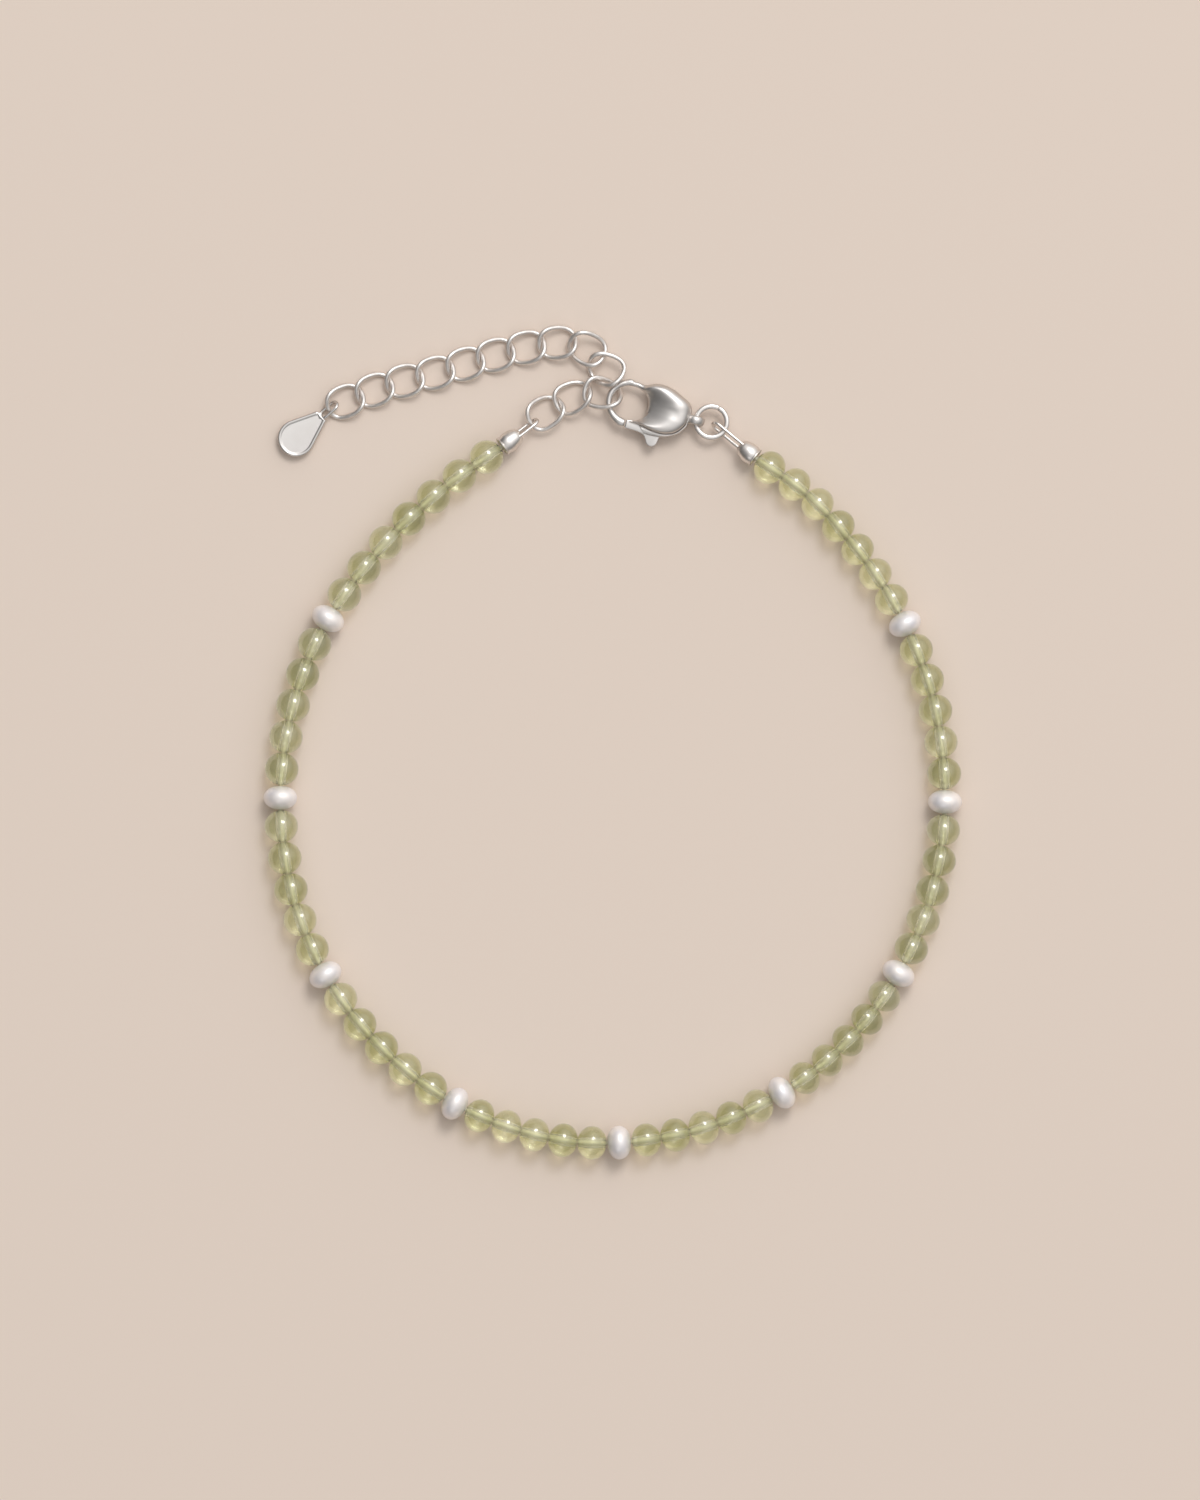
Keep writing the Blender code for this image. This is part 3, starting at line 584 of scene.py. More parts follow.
def polished_silver(settings):
    """The bright silver of the caps and the ring."""
    return silver_look("polished_silver", settings, 0.26)


def drawn_silver(settings):
    """The duller silver of the chain's drawn wire."""
    return silver_look("drawn_silver", settings, 0.36)


def brushed_silver(settings):
    """Silver brushed to a soft sheen, brighter where its edges are rubbed."""
    look = Look.material("brushed_silver")
    patch = look.ramp(look.noise(1.6 * MM, 3.0, 0.55), (0.35, 0.0), (0.8, 1.0))
    grain = look.noise(0.07 * MM, 3.0, 0.7)
    rubbed = look.mark("rubbed")
    sockets = {
        "Base Color": look.mix(patch * 0.35, settings.satin, settings.tarnish),
        "Metallic": 1.0,
        "Specular Tint": settings.edge_tint,
        "Roughness": (0.34 + grain * 0.12) * (1.0 - rubbed * 0.6),
        "Normal": look.bump(grain, 0.12, 0.012 * MM),
    }
    return look.finish(look.principled(sockets))


def material(make, settings):
    """The material of this maker, made the first time that it is asked for."""
    made = bpy.data.materials.get(make.__name__)
    if made is None:
        made = make(settings)
        made.name = make.__name__
    return made


def unit(vector):
    return vector / np.linalg.norm(vector)


def level(bearing):
    """The horizontal direction of a bearing in radians."""
    return np.array([cos(bearing), sin(bearing), 0.0])


def place_along(origin, x_axis, up=UP):
    """A placement whose X runs along this axis and whose Z is as near as it can be to up."""
    x = unit(np.asarray(x_axis, float))
    y = unit(np.cross(up, x))
    place = np.eye(4)
    place[:3, 0], place[:3, 1], place[:3, 2], place[:3, 3] = x, y, np.cross(x, y), origin
    return place


def turned_by(bearing=0.0, pitch=0.0, roll=0.0):
    """A turn to this bearing and pitch, after a roll about X, in radians."""
    about_z = Matrix.Rotation(bearing, 4, "Z")
    about_y = Matrix.Rotation(-pitch, 4, "Y")
    return np.array(about_z @ about_y @ Matrix.Rotation(roll, 4, "X"))


def shifted(x=0.0, y=0.0, z=0.0):
    return np.array(Matrix.Translation((x, y, z)))


def placed(points, place):
    return points @ place[:3, :3].T + place[:3, 3]


class Shape:
    """The points and faces of one piece, with the marks that its material reads."""

    def __init__(self):
        self.points = []
        self.faces = []
        self.slots = []
        self.marks = []
        self.count = 0

    def sweep(self, rings, closed=False, poles=(None, None), slots=None, mark=0.0):
        """Faces between rings of equally many points. An open end is filled, or runs to its pole.
        slots holds one material slot for each span between rings, mark one value for each ring."""
        rings = np.asarray(rings)
        number, sides = rings.shape[:2]
        base = self.count
        self.points.append(rings.reshape(-1, 3))
        self.marks.append(np.repeat(np.broadcast_to(mark, number), sides))
        self.count += number * sides
        spans = number if closed else number - 1
        for k in range(spans):
            here, there = base + k * sides, base + (k + 1) % number * sides
            for j in range(sides):
                after = (j + 1) % sides
                self.faces.append((here + j, here + after, there + after, there + j))
            self.slots += [slots[k] if slots else 0] * sides
        if closed:
            return self
        for first, pole in ((base, poles[0]), (base + spans * sides, poles[1])):
            loop = [first + j for j in range(sides)]
            if pole is None:
                self.faces.append(tuple(loop))
                self.slots.append(0)
                continue
            self.points.append(np.asarray(pole, float)[None])
            self.marks.append(self.marks[-1][:1])
            for j in range(sides):
                self.faces.append((loop[j], loop[(j + 1) % sides], self.count))
            self.slots += [0] * sides
            self.count += 1
        return self

    def mesh(self, name, looks, mark_name=None, sharp=50.0):
        made = bpy.data.meshes.new(name)
        made.from_pydata(np.vstack(self.points).tolist(), [], self.faces)
        made.polygons.foreach_set("material_index", self.slots)
        if mark_name:
            marks = made.attributes.new(mark_name, "FLOAT", "POINT")
            marks.data.foreach_set("value", np.concatenate(self.marks).astype(np.float32))
        face_out(made, sharp)
        for look in looks:
            made.materials.append(look)
        return made


def face_out(mesh, sharp):
    """Turns every face outwards and smooths the mesh, except at edges sharper than this angle."""
    shape = bmesh.new()
    shape.from_mesh(mesh)
    bmesh.ops.recalc_face_normals(shape, faces=shape.faces)
    shape.to_mesh(mesh)
    shape.free()
    mesh.shade_smooth()
    mesh.set_sharp_from_angle(angle=radians(sharp))


def add_piece(name, mesh, nodes=(), body="bracelet"):
    """Puts the piece in the scene, on its body and in the place of its nodes."""
    made = bpy.data.objects.new(name, mesh)
    bpy.context.scene.collection.objects.link(made)
    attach(made, body)
    if nodes:
        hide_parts(*nodes)
    return made


def carved(name, base, tools, looks, sharp=40.0):
    """The base mesh with each tool joined to it or cut from it, as one mesh."""
    body = bpy.data.objects.new(name, base)
    bpy.context.scene.collection.objects.link(body)
    helpers = [body]
    for number, (operation, mesh) in enumerate(tools):
        tool = bpy.data.objects.new(f"{name}_tool_{number}", mesh)
        bpy.context.scene.collection.objects.link(tool)
        helpers.append(tool)
        step = body.modifiers.new(f"step_{number}", "BOOLEAN")
        step.operation = operation
        step.solver = "EXACT"
        step.object = tool
    bpy.context.view_layer.update()
    graph = bpy.context.evaluated_depsgraph_get()
    made = bpy.data.meshes.new_from_object(body.evaluated_get(graph))
    for helper in helpers:
        bpy.data.objects.remove(helper)
    made.name = name
    made.materials.clear()
    for look in looks:
        made.materials.append(look)
    face_out(made, sharp)
    return made


def circle(sides):
    turn = np.linspace(0, 2 * pi, sides, endpoint=False)
    return np.cos(turn), np.sin(turn)


def arc(turn):
    """Points of a level circle of radius 1 at these turns."""
    return np.stack([np.cos(turn), np.sin(turn), 0 * turn], axis=1)


def lathe(profile, sides):
    """Rings about X from (x, radius) pairs."""
    across, up = circle(sides)
    rings = [np.stack([np.full(sides, x), r * across, r * up], axis=1) for x, r in profile]
    return np.array(rings)


def wire_rings(path, diameter, sides, closed=True, up=UP, thick=None, squareness=0.0, spread=1.0):
    """Rings of a wire along a path that runs round its up direction. thick scales each ring, and
    spread widens the wire along that direction."""
    path = np.asarray(path)
    if closed:
        tangents = np.roll(path, -1, axis=0) - np.roll(path, 1, axis=0)
    else:
        tangents = np.gradient(path, axis=0)
    across, above = circle(sides)
    corner = (1 - np.maximum(abs(across), abs(above))) / (1 - np.sqrt(0.5))
    swell = 1 + squareness * corner * SQUARE_CORNER
    rings = []
    for k, point in enumerate(path):
        side = unit(np.cross(tangents[k], up))
        rise = unit(np.cross(side, tangents[k]))
        radius = diameter / 2 * (1.0 if thick is None else thick[k]) * swell
        ring = point + (radius * across)[:, None] * side
        rings.append(ring + (spread * radius * above)[:, None] * rise)
    return np.array(rings)


def stadium(total, width, count):
    """Points of a closed loop with round ends and straight sides, from its far end at the origin."""
    half = count // 2
    far, near = -width / 2, width / 2 - total
    turn = np.linspace(-pi / 2, pi / 2, half)
    rows = []
    for x, angles in ((far, turn), (near, turn + pi)):
        across, up = np.cos(angles), np.sin(angles)
        rows.append(np.stack([x + width / 2 * across, width / 2 * up, 0 * angles], axis=1))
    runs = []
    for one, other in ((rows[0], rows[1]), (rows[1], rows[0])):
        between = np.linspace(0, 1, 6)[1:-1, None]
        runs += [one, one[-1] + between * (other[0] - one[-1])]
    return np.vstack(runs)


def smooth_line(points, per_span):
    """A smooth curve through the points."""
    points = np.asarray(points)
    ends = np.vstack([2 * points[0] - points[1], points, 2 * points[-1] - points[-2]])
    part = np.linspace(0, 1, per_span, endpoint=False)[:, None]
    spans = []
    for a, b, c, d in zip(ends, ends[1:], ends[2:], ends[3:]):
        bend = (2 * a - 5 * b + 4 * c - d) * part**2 + (3 * b - a - 3 * c + d) * part**3
        spans.append(b + 0.5 * ((c - a) * part + bend))
    return np.vstack([*spans, points[-1][None]])


def rounded(outline, times):
    """The closed outline with its corners cut back, each time to a finer curve."""
    for _ in range(times):
        following = np.roll(outline, -1, axis=0)
        early, late = 0.75 * outline + 0.25 * following, 0.25 * outline + 0.75 * following
        outline = np.stack([early, late], axis=1).reshape(-1, outline.shape[-1])
    return outline


def eased(at, table):
    """A smooth reading of a table of (position, values...) at these positions."""
    table = np.asarray(table)
    known, values = table[:, 0], table[:, 1:]
    slopes = np.gradient(values, known, axis=0)
    k = np.clip(np.searchsorted(known, at) - 1, 0, len(known) - 2)
    gap = (known[k + 1] - known[k])[:, None]
    part = (at[:, None] - known[k][:, None]) / gap
    rise = 3 * part**2 - 2 * part**3
    lead = (part**3 - 2 * part**2 + part) * gap * slopes[k]
    trail = (part**3 - part**2) * gap * slopes[k + 1]
    return values[k] * (1 - rise) + values[k + 1] * rise + lead + trail


def node_points(name):
    """The separate points of a node's mesh."""
    mesh = frame["nodes"][name].data
    flat = np.empty(len(mesh.vertices) * 3, np.float32)
    mesh.vertices.foreach_get("co", flat)
    return np.unique(np.round(flat.reshape(-1, 3).astype(float), 7), axis=0)


def own_axes(points):
    """The mean of these points and their own directions, the longest first."""
    mean = points.mean(axis=0)
    away = points - mean
    _, directions = np.linalg.eigh(away.T @ away)
    return mean, directions[:, ::-1].T


@lru_cache(maxsize=None)
def loop_middle():
    boxes = [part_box(f"bead_string_{side}") for side in ("left", "right")]
    low = [min(box[0][k] for box in boxes) for k in (0, 1)]
    high = [max(box[1][k] for box in boxes) for k in (0, 1)]
    return (low[0] + high[0]) / 2, (low[1] + high[1]) / 2


def loop_angle(point):
    """How far round the loop a point lies, anticlockwise from the clasp."""
    x, y = loop_middle()
    return (atan2(point[1] - y, point[0] - x) - pi / 2) % (2 * pi)


class Bead:
    """Where one bead or pearl sits on the string."""

    def __init__(self, kind, middle):
        self.kind = kind
        self.middle = np.asarray(middle)
        self.along = None
        self.length = None


@lru_cache(maxsize=None)
def string_of_beads():
    """Every bead and pearl in order from the left cap to the right one."""
    beads = []
    for side in ("left", "right"):
        points = node_points(f"bead_string_{side}")
        low, high = points[:, 2].min(), points[:, 2].max()
        for top in points[points[:, 2] > high - NEAR]:
            beads.append(Bead(side, (top[0], top[1], (low + high) / 2)))
    for name in frame["nodes"]:
        if name.startswith("pearl_"):
            low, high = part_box(name)
            beads.append(Bead(name, (low + high) / 2))
    beads.sort(key=lambda bead: loop_angle(bead.middle))
    for k, bead in enumerate(beads):
        before, after = beads[max(k - 1, 0)], beads[min(k + 1, len(beads) - 1)]
        bead.along = unit(after.middle - before.middle)
        gaps = [np.linalg.norm(other.middle - bead.middle) for other in (before, after)]
        same = [gap for gap, other in zip(gaps, (before, after)) if other.kind == bead.kind and gap > 0]
        bead.length = min(same) if same else None
    return beads


def bead_profile(half, radius, bore, rings):
    """(x, radius) of a glass bead's outer surface, with a rounded lip at each end of its bore."""
    start = np.arcsin(bore / radius)
    profile = []
    for turn in np.linspace(start, pi - start, rings):
        profile.append((-half * cos(turn) / cos(start), radius * sin(turn) ** GLASS_FULLNESS))
    return profile


class BRACELET_OT_glass_beads(bpy.types.Operator):
    """Strings the drilled glass beads on their thread"""

    bl_idname = "bracelet.glass_beads"
    bl_label = "Glass beads"

    def execute(self, context):
        settings = context.scene.bracelet_beads
        random = np.random.default_rng(SEED)
        beads = string_of_beads()
        looks = [material(olive_glass, settings), material(drilled_glass, settings)]
        for side in ("left", "right"):
            shape = Shape()
            for bead in beads:
                if bead.kind == side:
                    self.add_bead(shape, bead, settings, random)
            mesh = shape.mesh(f"beads_{side}", looks, "tone")
            add_piece(f"beads_{side}", mesh, (f"bead_string_{side}",))
        return {"FINISHED"}

    @staticmethod
    def add_bead(shape, bead, settings, random):
        radius = bead.middle[2] * (1 - settings.unevenness * random.random())
        half = BEAD_HALF_SHARE * bead.length
        bore = settings.bore / 2
        outer = bead_profile(half, radius, bore + BORE_LIP, settings.rings)
        lip = BORE_REACH * half
        inner = [(x, bore) for x in np.linspace(lip, -lip, 6)]
        rings = lathe(outer + inner, settings.sides)
        bearing, pitch = (radians(random.normal(0, most)) for most in (BEAD_TURN, BEAD_PITCH))
        lean = turned_by(bearing, pitch, random.random() * pi)
        place = place_along(bead.middle, bead.along) @ lean
        slots = [0] * len(outer) + [1] * (len(inner) - 1) + [0]
        shape.sweep(placed(rings, place), closed=True, slots=slots, mark=random.random())


class BRACELET_OT_thread(bpy.types.Operator):
    """Runs the thread through the beads and into the end caps"""

    bl_idname = "bracelet.thread"
    bl_label = "Thread"

    def execute(self, context):
        settings = context.scene.bracelet_beads
        beads = string_of_beads()
        middle = next(k for k, bead in enumerate(beads) if bead.kind == "pearl_5")
        halves = {"left": beads[: middle + 1], "right": beads[middle:][::-1]}
        for side, half in halves.items():
            outer = half[0]
            outward = -outer.along if side == "left" else outer.along
            reach = ((node_points(f"bead_string_{side}") - outer.middle) @ outward).max()
            points = [outer.middle + reach * outward] + [bead.middle for bead in half]
            points[-1] = points[-1] + settings.thread_gap / 2 * unit(points[-2] - points[-1])
            line = smooth_line(points, 6)
            rings = wire_rings(line, settings.thread, 10, closed=False)
            mesh = Shape().sweep(rings).mesh(f"thread_{side}", [material(thread_look, settings)])
            add_piece(f"thread_{side}", mesh)
        return {"FINISHED"}


class BRACELET_OT_pearls(bpy.types.Operator):
    """Shapes the nine drilled pearls, none of them quite round"""

    bl_idname = "bracelet.pearls"
    bl_label = "Pearls"

    def execute(self, context):
        settings = context.scene.bracelet_beads
        random = np.random.default_rng(SEED + 1)
        for bead in string_of_beads():
            if not bead.kind.startswith("pearl_"):
                continue
            points = node_points(bead.kind)
            along = np.ptp((points - bead.middle) @ bead.along)
            radius = bead.middle[2]
            bore = settings.pearl_bore / 2
            start = np.arcsin(bore / radius)
            profile = [
                (-along / 2 * cos(turn) / cos(start), radius * sin(turn) ** PEARL_FULLNESS)
                for turn in np.linspace(start, pi - start, 26)
            ]
            reach = PEARL_BORE_REACH * along / 2
            inner = [(x, bore) for x in np.linspace(reach, -reach, 4)]
            rings = self.uneven(lathe(profile + inner, 48), random, PEARL_HOLLOW)
            place = place_along(bead.middle, bead.along)
            shape = Shape().sweep(placed(rings, place), closed=True)
            name = bead.kind.replace("pearl", "pearl_bead")
            mesh = shape.mesh(name, [material(nacre, settings)])
            add_piece(name, mesh, (bead.kind,))
        return {"FINISHED"}

    @staticmethod
    def uneven(rings, random, most):
        """The rings with a few broad hollows pressed into them, never a bump past their size."""
        out = rings / np.linalg.norm(rings, axis=2, keepdims=True)
        depth = np.zeros(rings.shape[:2])
        for _ in range(PEARL_HOLLOWS):
            aim = unit(random.normal(0, 1, 3))
            depth += random.random() * np.exp(-PEARL_HOLLOW_SHARPNESS * (1 - out @ aim))
        return rings * (1 - most * depth / depth.max())[:, :, None]


class BRACELET_OT_end_caps(bpy.types.Operator):
    """Turns the two end caps and solders their loops on"""

    bl_idname = "bracelet.end_caps"
    bl_label = "End caps"

    def execute(self, context):
        settings = context.scene.bracelet_metal
        self.make("left", settings.left_cap, settings.left_loop, settings)
        self.make("right", settings.right_cap, settings.right_loop, settings)
        return {"FINISHED"}

    def make(self, side, body, reach, settings):
        place = self.place(side)
        outer, mouth, bore = settings.cap / 2, settings.cap_mouth / 2, settings.cap_bore / 2
        profile = [(0.0, bore + 0.03 * MM)]
        profile += [(along * MM, mouth + out * MM) for along, out in CAP_LIP]
        parts = np.linspace(CAP_FROM, CAP_TO, 20)
        profile += [(part * body, wide * outer) for part, (wide,) in zip(parts, eased(parts, CAP_PROFILE))]
        tail = body + 0.01 * MM
        end = profile[-1][1]
        profile += [(body, 0.8 * end), (tail, 0.4 * end)]
        depth = settings.cap_bore_depth
        hollow = [(depth, 0.6 * bore), (depth, bore - 0.03 * MM), (0.06 * MM, bore)]
        poles = placed(np.array([[depth, 0, 0], [tail, 0, 0]]), place)
        shape = Shape().sweep(placed(lathe(hollow + profile, 32), place), poles=poles)
        path = stadium(reach + 0.3 * body, settings.loop_width - settings.loop_wire, 40)
        far = place @ shifted(body + reach - settings.loop_wire / 2) @ turned_by(roll=settings.loop_roll)
        up = far[:3, 2]
        loop = Shape().sweep(wire_rings(placed(path, far), settings.loop_wire, 12, up=up), closed=True)
        look = material(polished_silver, settings)
        tools = [("UNION", loop.mesh("loop", [look]))]
        mesh = carved(f"cap_{side}", shape.mesh("cap", [look]), tools, [look])
        add_piece(f"cap_{side}", mesh, (f"end_cap_{side}",))

    @staticmethod
    def place(side):
        """The cap's placement: its mouth is the origin, and its loop lies along X."""
        points = node_points(f"end_cap_{side}")
        beads = string_of_beads()
        nearest = beads[0] if side == "left" else beads[-1]
        outward = -nearest.along if side == "left" else nearest.along
        for _ in range(4):
            far = (points - nearest.middle) @ outward
            mouth = points[far < far.min() + NEAR]
            middle, axes = own_axes(mouth)
            normal = axes[2]
            outward = normal * np.sign(normal @ outward)
        return place_along(middle, outward)


class Link:
    """One chain link's own frame, read from its node."""

    def __init__(self, name, wire):
        points = node_points(name)
        mean, axes = own_axes(points)
        x, y = axes[0], axes[1]
        self.place = np.eye(4)
        self.place[:3, :3] = np.stack([x, y, np.cross(x, y)], axis=1)
        self.place[:3, 3] = mean
        own = (points - mean) @ self.place[:3, :3]
        self.half_length = np.ptp(own[:, 0]) / 2 - wire / 2
        self.half_width = np.ptp(own[:, 1]) / 2 - wire / 2

    def path(self, twist, count):
        turn = np.linspace(0, 2 * pi, count, endpoint=False)
        round_way = np.array([np.cos(turn), np.sin(turn)])
        along, across = np.sign(round_way) * abs(round_way) ** LINK_SQUARENESS
        own = [self.half_length * along, self.half_width * across, -twist * np.sin(2 * turn)]
        return placed(np.stack(own, axis=1), self.place)

    def tips(self):
        ends = np.array([[self.half_length, 0, 0], [-self.half_length, 0, 0]])
        return placed(ends, self.place)


def link_names():
    return sorted(name for name in frame["nodes"] if name.startswith("chain_link_"))


class BRACELET_OT_chain(bpy.types.Operator):
    """Bends the extension chain's curb links"""

    bl_idname = "bracelet.chain"
    bl_label = "Chain"

    def execute(self, context):
        settings = context.scene.bracelet_metal
        random = np.random.default_rng(SEED + 2)
        look = material(drawn_silver, settings)
        for name in link_names():
            link = Link(name, settings.link_wire)
            path = link.path(settings.link_twist, LINK_STEPS)
            seam = random.choice(SEAM_PLACES) * LINK_STEPS
            away = (np.arange(LINK_STEPS) - seam + LINK_STEPS / 2) % LINK_STEPS - LINK_STEPS / 2
            swell, dip = (np.exp(-((away / width) ** 2)) for width in (SEAM_SWELL_WIDTH, SEAM_DIP_WIDTH))
            thick = 1 + SEAM_RELIEF * swell - SEAM_RELIEF * dip
            rings = wire_rings(path, settings.link_wire, 14, up=link.place[:3, 2], thick=thick)
            title = name.replace("chain_link", "curb_link")
            mesh = Shape().sweep(rings, closed=True).mesh(title, [look])
            add_piece(title, mesh, (name,))
        return {"FINISHED"}


class BRACELET_OT_jump_ring(bpy.types.Operator):
    """Closes the jump ring between the clasp and the right cap"""

    bl_idname = "bracelet.jump_ring"
    bl_label = "Jump ring"

    def execute(self, context):
        settings = context.scene.bracelet_metal
        low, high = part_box("jump_ring")
        middle = np.array((low + high) / 2)
        radius = (high.x - low.x - settings.ring_wire) / 2
        cut = radians(RING_CUT_BEARING)
        gap = RING_CUT_HALF / radius
        turn = np.linspace(cut + gap, cut + 2 * pi - gap, 110)
        path = middle + radius * arc(turn)
        thick = np.ones(len(turn))
        thick[[0, -1]] = RING_END
        square = RING_SQUARENESS
        rings = wire_rings(path, settings.ring_wire, 16, closed=False, thick=thick, squareness=square)
        mesh = Shape().sweep(rings).mesh("clasp_ring", [material(polished_silver, settings)])
        add_piece("clasp_ring", mesh, ("jump_ring",))
        return {"FINISHED"}


def clasp_place(settings):
    """The clasp's placement: the middle of the hook's hole, at mid-thickness, with X to the tail."""
    joint = next(j for j in frame["joints"] if j["name"] == "clasp_lever")
    turn = turned_by(settings.bearing)
    place = turn.copy()
    pivot = np.array([settings.pivot_x, -settings.pivot_y, 0.0])
    place[:3, 3] = np.array(joint["pos_m"]) - turn[:3, :3] @ pivot
    return place


def clasp_table(settings):
    """(bearing, inner radius, edge, thickness, lean) of the whole clasp, from the horn to the nose."""
    hole = settings.hole / 2
    rows = []
    for bearing, inner, outer, thick, lean in BELLY_SECTIONS:
        rows.append((bearing, inner * hole, outer * settings.reach, thick * settings.thickness, lean))
    for bearing, inner, wall, thick, lean in HOOK_SECTIONS:
        edge = inner * hole
        rows.append((bearing, edge, edge + wall * settings.hook_wire, thick * settings.hook_wire, lean))
    return rows


def arch(count, middle, half, foot, rise, lean):
    """(radius, height) from a section's outer edge, at the height of its foot, over its ridge and
    down to the hole. The more the ridge leans outwards, the longer and straighter the inner slope."""
    turn = np.linspace(0, pi, count)
    across, up = np.cos(turn), np.sin(turn)
    radius = middle + half * (across + lean * up**2)
    height = np.where(turn < pi / 2, foot + (rise - foot) * up, rise * up)
    ridge = middle + half * lean
    down = np.clip((ridge - radius) / (ridge - middle + half), 0.0, 1.0)
    drop = np.minimum(1.0, (pi - turn) / SLOPE_DROP) ** 0.5
    slope = rise * (1 - SLOPE_LOSS * down**SLOPE_LATENESS) * drop
    sloped = np.where(turn < pi / 2, height, slope)
    part = min(lean / SLOPE_FULL_LEAN, 1.0)
    return np.column_stack([radius, (1 - part) * height + part * sloped])


class BRACELET_OT_clasp_body(bpy.types.Operator):
    """Casts the clasp's hook, belly and eye, and cuts the lever's slot"""

    bl_idname = "bracelet.clasp_body"
    bl_label = "Clasp body"

    def execute(self, context):
        settings = context.scene.bracelet_clasp
        metal = context.scene.bracelet_metal
        place = clasp_place(settings)
        look = material(brushed_silver, metal)
        body = Shape().sweep(placed(self.body_rings(settings), place))
        tools = [
            ("UNION", self.eye(settings, place, look)),
            ("DIFFERENCE", self.slot(settings, place, look)),
            ("UNION", self.pin(settings, place, look)),
        ]
        mesh = carved("clasp_shell", body.mesh("body", [look]), tools, [look], sharp=38.0)
        add_piece("clasp_shell", mesh, ("clasp_body",))
        return {"FINISHED"}

    def body_rings(self, settings):
        table = clasp_table(settings)
        first, last = table[0][0], table[-1][0]
        bearings = np.linspace(first, last, CLASP_RINGS)
        rows = eased(bearings, table)
        rings = []
        for bearing, (inner, edge, thick, lean) in zip(bearings, rows):
            from_nose = min((last - bearing) / NOSE_ROUNDING, 1.0)
            shrink = np.sqrt(1 - 0.5 * (1 - from_nose) ** 2)
            middle, half = (inner + edge) / 2, (edge - inner) / 2 * shrink
            section = self.section(settings, bearing, middle, half, thick * shrink / 2, lean)
            whole = np.vstack([section, section[-2:0:-1] * [1, -1]])
            rings.append(whole[:, :1] * level(radians(bearing)) + whole[:, 1:] * [0.0, 0.0, 1.0])
        return np.array(rings)

    @staticmethod
    def section(settings, bearing, middle, half, rise, lean):
        """(radius, height) over one section's upper side, from its outer edge to the hole."""
        plain = arch(SECTION_POINTS, middle, half, 0.0, rise, lean)
        lips = np.array(LIP_SECTIONS)
        if not lips[0, 0] < bearing < lips[-1, 0]:
            return plain
        outer, height, formed = (np.interp(bearing, lips[:, 0], lips[:, k]) for k in (1, 2, 3))
        edge = middle + half
        width = max(outer * settings.reach - edge, 0.0)
        height = height * settings.thickness / 2
        lip = [(edge + part * width, share * height) for part, share in LIP_PROFILE]
        dome = arch(SECTION_POINTS - len(lip), middle, half, height, rise, lean)
        return (1 - formed) * plain + formed * np.vstack([lip, dome])

    @staticmethod
    def eye(settings, place, look):
        radius = (settings.eye - settings.eye_wire) / 2
        middle = settings.reach - settings.eye_overlap + settings.eye / 2
        centre = place @ shifted(middle) @ turned_by(roll=pi / 2)
        turn = np.linspace(0, 2 * pi, 40, endpoint=False)
        path = placed(radius * arc(turn), centre)
        rings = wire_rings(path, settings.eye_wire, 18, up=centre[:3, 2], spread=settings.eye_spread)
        return Shape().sweep(rings, closed=True).mesh("eye", [look])

    @staticmethod
    def slot(settings, place, look):
        right = settings.pivot_x + 3 * settings.boss
        top = -settings.pivot_y + 2.2 * settings.boss
        bottom = -settings.pivot_y - settings.reach
        left = 0.06 * MM
        corners = np.array([(left, bottom), (right, bottom), (right, top), (left, top)])
        half = settings.slot / 2
        rings = [np.column_stack([corners, np.full(4, z)]) for z in (-half, half)]
        return Shape().sweep(placed(np.array(rings), place)).mesh("slot", [look])

    @staticmethod
    def pin(settings, place, look):
        half = settings.slot / 2 + 0.06 * MM
        centre = place @ shifted(settings.pivot_x, -settings.pivot_y, 0) @ turned_by(pitch=pi / 2)
        rings = lathe([(-half, settings.pin / 2), (half, settings.pin / 2)], 24)
        return Shape().sweep(placed(rings, centre)).mesh("pin", [look])


